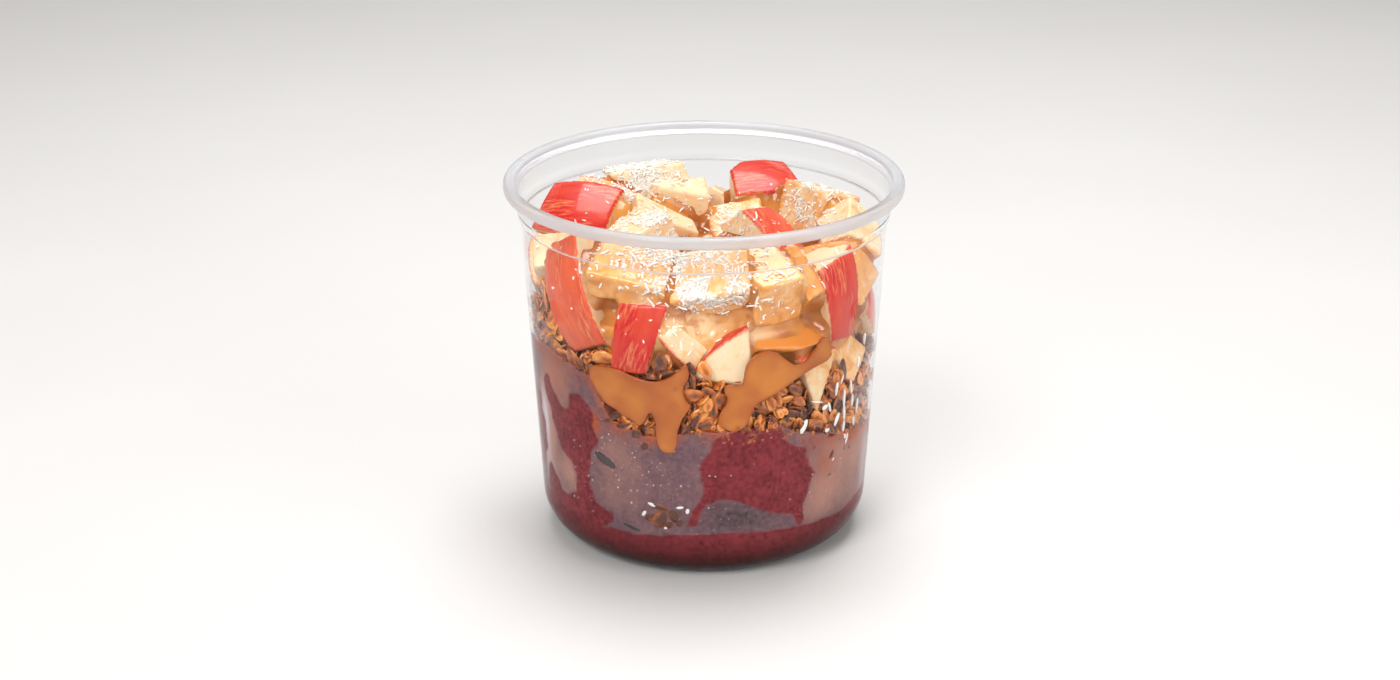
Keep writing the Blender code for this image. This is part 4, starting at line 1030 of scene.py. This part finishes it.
def under_sauce(points):
    """1 for points behind a pool of caramel on the wall, 0 away from them."""
    azimuth, up = azimuths_of(points), points[:, 2] / MM
    nearest = np.full(len(points), 1e9)
    for outline in SAUCE_OUTLINES.values():
        middle = np.mean([place for place, _ in outline])
        across = (middle + turn_between(middle, azimuth)) * MM_PER_DEGREE
        nearest = np.minimum(nearest, signed_distance(outline, across, up))
    return 1.0 - smoothstep(-0.2, 0.8, nearest)


def cluster_mesh(sizes, draw):
    """A cluster: broken oats stuck together with sugar."""
    cluster = bmesh.new()
    for _ in range(7):
        oat = mesh_of(oat_mesh(sizes, draw), "oat")
        angle = draw.uniform(0, 6.28)
        axis = Vector([draw.uniform(-1, 1) for _ in range(3)]).normalized()
        turn = Matrix.Rotation(angle, 4, axis)
        shift = Vector([draw.uniform(-1.7, 1.7) * MM for _ in range(3)])
        oat.transform(Matrix.Translation(shift) @ turn @ Matrix.Scale(draw.uniform(0.5, 0.85), 4))
        cluster.from_mesh(oat)
        bpy.data.meshes.remove(oat)
    return cluster


def granola_material(granola):
    """Toasted oats, glossy with baked sugar: paler on their rims, and darkened in their creases by painted
    shade.
    """
    made, tree, shader, place = new_material("toasted_oats", 0.3, coat_weight=0.6, coat_roughness=0.15)
    toast = add_node(tree, "ShaderNodeTexNoise", {"Vector": place, "Scale": 620.0, "Detail": 4.0}, "Fac")
    tint, rim = [add_node(tree, "ShaderNodeAttribute", out="Fac", attribute_name=name)
                 for name in ("tint", "rim")]
    level = add_node(tree, "ShaderNodeMath", (toast, tint), 0, operation="ADD")
    # Painted shade: a low rim mark, down an oat's crease, darkens the oat
    toasted = add_node(tree, "ShaderNodeMath", (rim, -0.35, level), 0, operation="MULTIPLY_ADD")
    base = coats(tree, granola.pale, [
        (toasted, 0.3, 0.9, 1.0, granola.toasted),
        (toasted, 0.75, 1.4, 1.0, granola.dark),
    ])
    finish_material(tree, shader, base, toast, 0.4, 0.3 * MM)
    return made


def speckled_material(name, roughness, grain, first, second, **values):
    """A material of two close tones in grains of a size in metres."""
    made, tree, shader, place = new_material(name, roughness, **values)
    tone = add_node(tree, "ShaderNodeTexNoise", {"Vector": place, "Scale": 1.0 / grain, "Detail": 2.0}, "Fac")
    finish_material(tree, shader, coats(tree, first, [(tone, 0.0, 1.0, 1.0, second)]), tone, 0.2, 0.1 * MM)
    return made


def shred_mesh(coconut, scale, bend):
    """A coconut shred: a flat strip with a bend, tapered at its ends."""
    strip = bmesh.new()
    bmesh.ops.create_cube(strip, size=1.0)
    long_edges = [e for e in strip.edges if abs(e.verts[0].co.x - e.verts[1].co.x) > 0.5]
    bmesh.ops.subdivide_edges(strip, edges=long_edges, cuts=2, use_grid_fill=True)
    size = Vector((coconut.shred_length * scale, coconut.shred_width * (0.6 + 0.5 * scale), 0.35 * MM))
    for vert in strip.verts:
        x, y, z = vert.co
        taper = 1.0 - 0.5 * abs(2 * x) ** 3
        vert.co = Vector((x * size.x, y * size.y * taper + bend * 0.4 * x * x * size.x,
                          z * size.z + bend * (0.25 - x * x) * size.x * 0.5))
    return strip


def flake_mesh(size):
    """A coconut flake: a thin, uneven crumb, with its size in millimetres."""
    flake = bmesh.new()
    bmesh.ops.create_icosphere(flake, subdivisions=1, radius=0.5)
    for number, vert in enumerate(flake.verts):
        swell = 1.0 + 0.3 * math.sin(2.4 * number + 5.0 * size)
        vert.co = Vector((vert.co.x * swell, vert.co.y * 0.75 * swell, vert.co.z * 0.4)) * size * MM
    return flake


def kinds_collection(name, solids):
    """A hidden collection with one object for each kind of small piece."""
    kinds = bpy.data.collections.new(name)
    for number, solid in enumerate(solids):
        kinds.objects.link(bpy.data.objects.new(f"{name}_{number}", mesh_of(solid, name)))
    return kinds


def remove_kinds(kinds):
    """Remove a collection made by kinds_collection, with its objects."""
    for obj in list(kinds.objects):
        bpy.data.objects.remove(obj, do_unlink=True)
    bpy.data.collections.remove(kinds)


def scatter_tree(name):
    """A node tree that strews small pieces, turned at random, over a surface where its cover says."""
    tree = bpy.data.node_groups.new(name, "GeometryNodeTree")
    face = tree.interface
    face.new_socket("Surface", in_out="INPUT", socket_type="NodeSocketGeometry")
    for label, kind, value in (
            ("Kinds", "Collection", None), ("Spacing", "Float", 0.002), ("Tilt", "Float", 0.3),
            ("Smallest", "Float", 0.8), ("Largest", "Float", 1.1), ("Lift", "Float", 0.0),
            ("Seed", "Int", 1), ("Material", "Material", None)):
        socket = face.new_socket(label, in_out="INPUT", socket_type=f"NodeSocket{kind}")
        if value is not None:
            socket.default_value = value
    face.new_socket("Pieces", in_out="OUTPUT", socket_type="NodeSocketGeometry")
    given = add_node(tree, "NodeGroupInput").outputs
    cover = add_node(tree, "GeometryNodeInputNamedAttribute", {"Name": "cover"}, "Attribute",
                     data_type="FLOAT")
    spots = add_node(tree, "GeometryNodeDistributePointsOnFaces", {
        "Mesh": given["Surface"], "Distance Min": given["Spacing"], "Density Max": 8.0e6,
        "Density Factor": cover, "Seed": given["Seed"]}, distribute_method="POISSON")
    kinds = add_node(tree, "GeometryNodeCollectionInfo", {
        "Collection": given["Kinds"], "Separate Children": True, "Reset Children": True}, 0)
    low = add_node(tree, "ShaderNodeMath", (given["Tilt"], -1.0), 0, operation="MULTIPLY")
    least = add_node(tree, "ShaderNodeCombineXYZ", (low, low, 0.0), 0)
    most = add_node(tree, "ShaderNodeCombineXYZ", (given["Tilt"], given["Tilt"], 2 * math.pi), 0)
    turn = add_node(tree, "FunctionNodeRandomValue", {0: least, 1: most, "Seed": 2}, 0,
                    data_type="FLOAT_VECTOR")
    lean = add_node(tree, "FunctionNodeEulerToRotation", (turn,), 0)
    facing = add_node(tree, "FunctionNodeRotateRotation", (spots.outputs["Rotation"], lean), 0,
                      rotation_space="LOCAL")
    size = add_node(tree, "FunctionNodeRandomValue", {
        2: given["Smallest"], 3: given["Largest"], "Seed": 3}, 1, data_type="FLOAT")
    placed = add_node(tree, "GeometryNodeInstanceOnPoints", {
        "Points": spots.outputs["Points"], "Instance": kinds, "Pick Instance": True, "Rotation": facing,
        "Scale": size}, 0)
    up = add_node(tree, "ShaderNodeCombineXYZ", {"Z": given["Lift"]}, 0)
    lifted = add_node(tree, "GeometryNodeTranslateInstances", {
        "Instances": placed, "Translation": up, "Local Space": True}, 0)
    shade = add_node(tree, "FunctionNodeRandomValue", {2: 0.0, 3: 1.0, "Seed": 4}, 1, data_type="FLOAT")
    tinted = add_node(tree, "GeometryNodeStoreNamedAttribute", {
        "Geometry": lifted, "Name": "tint", "Value": shade}, 0, data_type="FLOAT", domain="INSTANCE")
    real = add_node(tree, "GeometryNodeRealizeInstances", {"Geometry": tinted}, 0)
    painted = add_node(tree, "GeometryNodeSetMaterial", {
        "Geometry": real, "Material": given["Material"]}, 0)
    add_node(tree, "NodeGroupOutput", (painted,))
    return tree


def strewn(name, surface, cover, kinds, material, **values):
    """The mesh of small pieces that the scatter tree strews over a surface, which is removed."""
    set_attribute(surface, "cover", cover)
    host = add_object(name, surface)
    tree = scatter_tree(name)
    scatter = host.modifiers.new("strew", "NODES")
    scatter.node_group = tree
    sockets = {item.name: item.identifier for item in tree.interface.items_tree if item.in_out == "INPUT"}
    scatter[sockets["Kinds"]] = kinds
    scatter[sockets["Material"]] = material
    for label, value in values.items():
        scatter[sockets[label.capitalize()]] = value
    mesh = plain_mesh(host, name)
    bpy.data.node_groups.remove(tree)
    return mesh


def joined(meshes, name):
    """One mesh from several, with the attributes they share."""
    whole = bmesh.new()
    for mesh in meshes:
        whole.from_mesh(mesh)
    return mesh_of(whole, name)


class ACAI_OT_cup(bpy.types.Operator):
    """Turn the clear cup from its section, with a frosted rim"""

    bl_idname = "acai_bowl.make_cup"
    bl_label = "Clear cup"

    def execute(self, context):
        cup = context.scene.acai_bowl_cup
        around = np.linspace(0.0, 360.0, cup.sides, endpoint=False)
        rings = [on_ring(np.zeros(1) if point[0] < 1e-9 else around, point[0], point[1])
                 for point in cup_outline(cup)]
        mesh = mesh_of(turned(rings), "deli_cup")
        made = add_object("deli_cup", mesh, clear_polypropylene(cup.plastic),
                          frosted_polypropylene(cup.rim_plastic))
        frosted_from = CUP_TOP[2] - cup.rim_depth - 0.4 * MM
        for face in mesh.polygons:
            on_shoulder = abs(face.center.z - cup.shoulder_height) < 0.3 * MM
            face.material_index = int(on_shoulder or face.center.z > frosted_from)
        settle_piece(made, "clear_plastic", "cup")
        return {"FINISHED"}


class ACAI_OT_acai(bpy.types.Operator):
    """Fill the cup with the acai blend, pressed on the wall in patches"""

    bl_idname = "acai_bowl.make_acai"
    bl_label = "Acai blend"

    def execute(self, context):
        settings = context.scene.acai_bowl_acai
        mesh = mesh_of(turned(acai_rings(settings, context.scene.acai_bowl_cup)), "acai_filling")
        points = points_of(mesh)
        azimuth, up = azimuths_of(points), points[:, 2] / MM
        set_attribute(mesh, "pressed", pressed_share(points))
        set_attribute(mesh, "fog", zone_sum(FOG_ZONES, azimuth, up))
        # At the wall's left edge the frost is partly painted reflection
        set_attribute(mesh, "frost", np.clip(zone_sum(FROST_AND_REFLECTION_ZONES, azimuth, up), 0.0, 1.0))
        patches = np.clip(0.5 + 1.1 * ripple(points, 7 * MM, 4.0), 0.0, 1.2)
        juice_at_edge = np.exp(-((up - edge_up(azimuth)) / 2.8) ** 2) * patches
        set_attribute(mesh, "juice", zone_sum(JUICE_ZONES, azimuth, up) + juice_at_edge)
        made = add_object("acai_filling", mesh, acai_blend(settings))
        settle_piece(made, "acai", "acai_blend")
        return {"FINISHED"}


class ACAI_OT_apples(bpy.types.Operator):
    """Cut every apple chunk to its true round skin and flat faces, and glaze it"""

    bl_idname = "acai_bowl.make_apples"
    bl_label = "Apple chunks"

    def execute(self, context):
        apple = context.scene.acai_bowl_apple
        draw = random.Random(SEED)
        material = apple_material(apple)
        fine_apple = bmesh.new()
        bmesh.ops.create_icosphere(fine_apple, subdivisions=6, radius=apple.apple_radius)
        for number, node in enumerate(CHUNK_NODES, start=1):
            solid, middle = chunk_solid(frame["nodes"][node], apple, fine_apple)
            mesh = remeshed(mesh_of(solid, node + "_fruit"), apple.grain, 1)
            others = tree_of([frame["nodes"][other].data for other in CHUNK_NODES if other != node])
            finish_chunk(mesh, middle, number, apple, draw, others)
            settle_piece(add_object(node + "_fruit", mesh, material), "apple_flesh", node)
        fine_apple.free()
        return {"FINISHED"}


class ACAI_OT_caramel(bpy.types.Operator):
    """Pour the caramel: the pools on the wall and the sauce in the crevices"""

    bl_idname = "acai_bowl.make_caramel"
    bl_label = "Caramel sauce"

    def execute(self, context):
        caramel = context.scene.acai_bowl_caramel
        material = caramel_material("caramel_sauce", caramel, caramel.sauce, caramel.thin)
        for node in CARAMEL_NODES:
            pool = pool_mesh(node + "_sauce", SAUCE_OUTLINES[node], caramel)
            settle_piece(add_object(node + "_sauce", pool, material), "caramel", node)
        deep = caramel_material("caramel_in_clefts", caramel, caramel.cleft, caramel.cleft_thin)
        settle_piece(add_object("crevice_sauce", self.crevice_sauce(), deep), "caramel")
        return {"FINISHED"}

    def crevice_sauce(self):
        """Sauce in the clefts: the union of the chunks, swollen until clefts close, then drawn back."""
        chunks = [bpy.data.objects[node + "_fruit"].data for node in CHUNK_NODES]
        grain, swell, recess = 1.0 * MM, 2.4 * MM, 0.35 * MM
        puddles = [mesh_of(unit_ball(4), "puddle") for _ in range(2)]
        # (height, width, depth in mm) of the sauce that lies under the chunks, on and above the granola
        for puddle, (height, width, depth) in zip(puddles, ((79, 84, 11), (67, 94, 18))):
            puddle.transform(Matrix.Translation((0.0, 0.0, height * MM))
                             @ Matrix.Diagonal((width * MM, width * MM, depth * MM, 1.0)))
        mesh = remeshed(joined(chunks + puddles, "crevice_sauce"), grain, 1)
        set_points(mesh, points_of(mesh) + normals_of(mesh) * swell)
        mesh = remeshed(mesh, grain, 2)
        set_points(mesh, points_of(mesh) - normals_of(mesh) * (swell + recess))
        mesh = remeshed(mesh, 0.9 * grain, 3)
        points = keep_inside(points_of(mesh), -0.3 * MM)
        set_points(mesh, points)
        set_attribute(mesh, "dust", 0.35 * coconut_cover(points, normals_of(mesh)))
        thin = zone_sum(THIN_SAUCE_ZONES, azimuths_of(points), points[:, 2] / MM)
        set_attribute(mesh, "thin", np.clip(thin, 0.0, 1.0))
        return mesh


class ACAI_OT_granola(bpy.types.Operator):
    """Bake the granola: a dark core of painted shade, with oats and clusters strewn over what shows of it"""

    bl_idname = "acai_bowl.make_granola"
    bl_label = "Granola"

    def execute(self, context):
        granola = context.scene.acai_bowl_granola
        draw = random.Random(SEED + 1)
        material = granola_material(granola)
        core = bmesh.new()
        core.from_mesh(frame["nodes"]["granola_heap"].data)
        bmesh.ops.remove_doubles(core, verts=core.verts, dist=WELD)
        grain = 1.1 * MM
        mesh = remeshed(mesh_of(core, "granola_core"), grain, 2)
        points = points_of(mesh)
        rough = ripple(points, 2.4 * MM, 4.0) * 0.5 * MM
        set_points(mesh, keep_inside(points + normals_of(mesh) * rough[:, None], -0.8 * MM))
        # A tint of 1 and more turns the core toasted and dark: painted shade for the depth between the oats
        set_attribute(mesh, "tint", 1.0 + 0.15 * ripple(points, 5 * MM, 6.0))
        settle_piece(add_object("granola_core", mesh, material), "granola", "granola_heap")
        sizes = (granola.oat_length, granola.oat_width, granola.oat_thickness)
        kinds = kinds_collection("oat_kinds", [oat_mesh(sizes, draw) for _ in range(8)]
                                 + [cluster_mesh(sizes, draw) for _ in range(3)])
        chunks = tree_of([frame["nodes"][node].data for node in CHUNK_NODES])
        # How far oats stand back from the wall where a pool of sauce covers them
        behind_sauce = 1.6 * MM
        for name, depth, tilt, spacing, clear in (("granola_inner", 3.6 * MM, 0.9, 0.8, 0.3 * MM),
                                                  ("granola_oats", 1.5 * MM, 0.4, 1.15, 1.8 * MM)):
            band = self.band(depth)
            cover = smoothstep(clear, clear + 0.8 * MM, distance_outside(chunks, points_of(band)))
            oats = strewn(name, band, cover, kinds, material, spacing=granola.spacing * spacing, tilt=tilt,
                          smallest=0.65, largest=1.05, seed=SEED)
            points = points_of(oats)
            set_points(oats, keep_inside(points, REACH - behind_sauce * under_sauce(points)))
            settle_piece(add_object(name, oats), "granola")
        remove_kinds(kinds)
        self.add_film_bits(material, granola, draw)
        return {"FINISHED"}

    def add_film_bits(self, material, granola, draw):
        """Crumbs, oats, drops of dew and seeds, all pressed on the wall in the frosty film."""
        def unit_oat():
            return oat_mesh((1.0, 1.0, 1.0), draw)

        # Dew on the wall: each drop painted pale, a painted highlight in front of the film
        dew_glint = speckled_material("water_dew", 0.1, 2 * MM, to_linear("#B59A9C"), "#EDE2E0",
                                  specular_ior_level=0.6)
        # The shell of a seed: nearly black, with a dull shine
        shell = speckled_material("seed_shell", 0.35, 4 * MM, granola.seed, "#4E3C3A", coat_weight=0.3)
        # Each bit's thickness, how deep it is sunk and how far it may reach into the wall, and for oats the
        # mean, swing and grain of their tint
        for name, rows, shape, (thickness, sunk, reaches), tint, finish, slot in (
                ("film_crumbs", self.crumb_rows(), unit_oat, (0.9, 0.15, 1.5), (0.55, 0.5, 2), material,
                 "granola"),
                ("film_oats", FILM_OATS, unit_oat, (1.4, 0.1, 2), (0.95, 0.4, 3), material, "granola"),
                ("film_dew", self.dew_rows(), lambda: unit_ball(2), (0.5, 0.0, 3), None, dew_glint, "acai"),
                ("film_seeds", FILM_SEEDS, lambda: unit_ball(3), (1.6, 0.35, 2), None, shell, "acai")):
            mesh = bits_on_wall(name, rows, shape, thickness * MM, sunk * MM, reaches * REACH)
            if tint:
                mean, swing, grain = tint
                set_attribute(mesh, "tint", mean + swing * ripple(points_of(mesh), grain * MM, 8.0))
            settle_piece(add_object(name, mesh, finish), slot)

    def crumb_rows(self):
        """Crumbs of granola in the top of the film, thickest at the right of the front."""
        draw = random.Random(SEED + 4)
        crumbs = 300
        rows = []
        for _ in range(crumbs):
            azimuth = draw.gauss(22, 9) if draw.random() < 0.25 else draw.uniform(-180, 180)
            height = float(edge_up(azimuth)) + draw.gauss(-0.4, 2.0)
            size = draw.uniform(0.7, 2.2)
            rows.append((azimuth, height, draw.uniform(0, 180), size, size * draw.uniform(0.5, 0.9)))
        return rows

    def dew_rows(self):
        """Tiny drops on the wall in front of the film, closest together at the left of the front."""
        draw = random.Random(SEED + 3)
        drops, lowest, highest = 260, 17, 46
        rows = []
        for _ in range(drops):
            near = draw.random() < 0.55
            azimuth = draw.gauss(-29, 10) if near else draw.uniform(-180, 180)
            height = draw.gauss(35, 8) if near else draw.uniform(18, 42)
            if lowest < height < highest:
                size = 0.22 + 0.5 * draw.random() ** 4
                rows.append((azimuth, height, 0.0, size, size * draw.uniform(0.8, 1.2)))
        return rows

    def band(self, depth):
        """A sheet behind the wall where granola shows, from the blend's edge up past the granola's."""
        around = np.arange(0.0, 360.0, 2.0)
        rings = []
        for share_up in np.linspace(0.0, 1.0, 12):
            low = edge_height(ACAI_EDGE, around) + 1.2 * MM
            height = low + (edge_height(GRANOLA_EDGE, around) + 3.5 * MM - low) * share_up
            rings.append(on_ring(around, inner_radius(height) - depth, height))
        sheet = bmesh.new()
        made = [[sheet.verts.new(point) for point in ring] for ring in rings]
        for lower, upper in zip(made, made[1:]):
            for i in range(len(around)):
                j = (i + 1) % len(around)
                sheet.faces.new((lower[i], lower[j], upper[j], upper[i]))
        return mesh_of(sheet, "band")


class ACAI_OT_coconut(bpy.types.Operator):
    """Strew coconut shreds over the upper chunks and down the right of the wall"""

    bl_idname = "acai_bowl.make_coconut"
    bl_label = "Coconut"

    def execute(self, context):
        coconut = context.scene.acai_bowl_coconut
        # Dried coconut: dry and matt, so every shred stays crisp and white
        material = speckled_material("shredded_coconut", 0.5, 3.3 * MM, coconut.white, "#F0EBE0")
        shreds = [shred_mesh(coconut, size, bend) for size, bend in
                  ((0.5, 0.3), (0.34, 0.3), (0.28, -0.3), (0.22, -0.2), (0.18, 0.3), (0.14, 0.2))]
        flakes = [flake_mesh(size) for size in (0.5, 0.6, 0.7, 0.8, 0.9, 1.0, 1.1, 1.2)]
        kinds = kinds_collection("shred_kinds", shreds + flakes)
        chunks = [bpy.data.objects[node + "_fruit"].data for node in CHUNK_NODES]
        surface = joined(chunks + [bpy.data.objects["crevice_sauce"].data], "coconut_shreds")
        cover = np.empty(len(surface.vertices))
        surface.attributes["dust"].data.foreach_get("value", cover)
        shreds = strewn("coconut_shreds", surface, cover, kinds, material, spacing=coconut.spacing, tilt=0.6,
                        smallest=0.7, largest=1.15, lift=0.3 * MM, seed=SEED + 2)
        remove_kinds(kinds)
        set_points(shreds, keep_inside(points_of(shreds), 0.0))
        piece = add_object("coconut_shreds", shreds)
        shreds.shade_flat()
        settle_piece(piece, "coconut")
        rows = WALL_SHREDS + FILM_FLECKS
        flecks = bits_on_wall("wall_coconut", rows, lambda: unit_ball(2), 0.9 * MM, 0.1 * MM, 2 * REACH)
        settle_piece(add_object("wall_coconut", flecks, material), "coconut")
        return {"FINISHED"}


class ACAI_OT_stage(bpy.types.Operator):
    """Lay a pale floor, hang soft lights and set the camera"""

    bl_idname = "acai_bowl.make_stage"
    bl_label = "Stage"

    def execute(self, context):
        stage = context.scene.acai_bowl_stage
        half = 3.0
        floor_mesh = bpy.data.meshes.new("floor")
        floor_mesh.from_pydata([(-half, -half, 0), (half, -half, 0), (half, half, 0), (-half, half, 0)], [],
                               [(0, 1, 2, 3)])
        # Painted board: a pale matt floor that shows the cup's shadow
        made = speckled_material("painted_board", 0.6, 125 * MM, stage.floor, "#EBE9E7")
        add_object("floor", floor_mesh, made)
        self.add_lights(context)
        self.add_camera(context, stage)
        context.scene.view_settings.view_transform = "Standard"
        return {"FINISHED"}

    def add_lights(self, context):
        """A broad key in front at the left, a soft fill at the right and a lamp over the back for the rim."""
        target = Vector((0.0, 0.0, 0.06))
        for name, place, size, power in (("key_light", (-0.4, -0.75, 0.8), 0.45, 5.5),
                                         ("fill_light", (0.75, -0.5, 0.5), 0.6, 2.9),
                                         ("back_light", (0.05, 0.25, 0.95), 0.6, 7.5)):
            lamp = bpy.data.lights.new(name, "AREA")
            lamp.size = size
            lamp.energy = power
            obj = bpy.data.objects.new(name, lamp)
            obj.location = place
            obj.rotation_euler = (target - obj.location).to_track_quat("-Z", "Y").to_euler()
            context.scene.collection.objects.link(obj)
        world = bpy.data.worlds.new("studio")
        world.use_nodes = True
        backdrop = world.node_tree.nodes["Background"]
        backdrop.inputs["Color"].default_value = (1.0, 0.98, 0.96, 1.0)
        backdrop.inputs["Strength"].default_value = 0.3
        context.scene.world = world

    def add_camera(self, context, stage):
        """Look at the middle of the cup from the front, at the photo's height."""
        camera = bpy.data.cameras.new("camera")
        camera.lens = stage.lens
        camera.sensor_width = 36.0
        # The cup stands a few pixels off the middle of the photo, which is 1400 wide
        photo_width = 1400
        camera.shift_x, camera.shift_y = -4 / photo_width, 8 / photo_width
        obj = bpy.data.objects.new("camera", camera)
        target = Vector((0.0, 0.0, CUP_TOP[2] / 2))
        away = Vector((0.0, -math.cos(stage.elevation), math.sin(stage.elevation)))
        obj.location = target + away * stage.distance
        obj.rotation_euler = (-away).to_track_quat("-Z", "Y").to_euler()
        context.scene.collection.objects.link(obj)
        context.scene.camera = obj


class VIEW3D_PT_acai_bowl(bpy.types.Panel):
    """Lists the settings and the steps"""

    bl_label = "Acai Bowl"
    bl_space_type = "VIEW_3D"
    bl_region_type = "UI"
    bl_category = "Acai Bowl"

    def draw(self, context):
        for name in SETTINGS:
            box = self.layout.box()
            group = getattr(context.scene, name)
            for key in group.bl_rna.properties.keys():
                if key not in ("name", "rna_type"):
                    box.prop(group, key)
        for operator in OPERATORS:
            self.layout.operator(operator.bl_idname)


SETTINGS = {
    "acai_bowl_cup": CupSettings,
    "acai_bowl_acai": AcaiSettings,
    "acai_bowl_apple": AppleSettings,
    "acai_bowl_caramel": CaramelSettings,
    "acai_bowl_granola": GranolaSettings,
    "acai_bowl_coconut": CoconutSettings,
    "acai_bowl_stage": StageSettings,
}
OPERATORS = (ACAI_OT_cup, ACAI_OT_acai, ACAI_OT_apples, ACAI_OT_caramel, ACAI_OT_granola, ACAI_OT_coconut,
             ACAI_OT_stage)


def register():
    for group in SETTINGS.values():
        bpy.utils.register_class(group)
    for name, group in SETTINGS.items():
        setattr(bpy.types.Scene, name, bpy.props.PointerProperty(type=group))
    for part in (*OPERATORS, VIEW3D_PT_acai_bowl):
        bpy.utils.register_class(part)


def unregister():
    for part in (*OPERATORS, VIEW3D_PT_acai_bowl):
        bpy.utils.unregister_class(part)
    for name, group in SETTINGS.items():
        delattr(bpy.types.Scene, name)
        bpy.utils.unregister_class(group)


def main():
    register()
    bpy.ops.acai_bowl.make_cup()
    bpy.ops.acai_bowl.make_acai()
    bpy.ops.acai_bowl.make_apples()
    bpy.ops.acai_bowl.make_caramel()
    bpy.ops.acai_bowl.make_granola()
    bpy.ops.acai_bowl.make_coconut()
    bpy.ops.acai_bowl.make_stage()


if __name__ == "__main__":
    main()
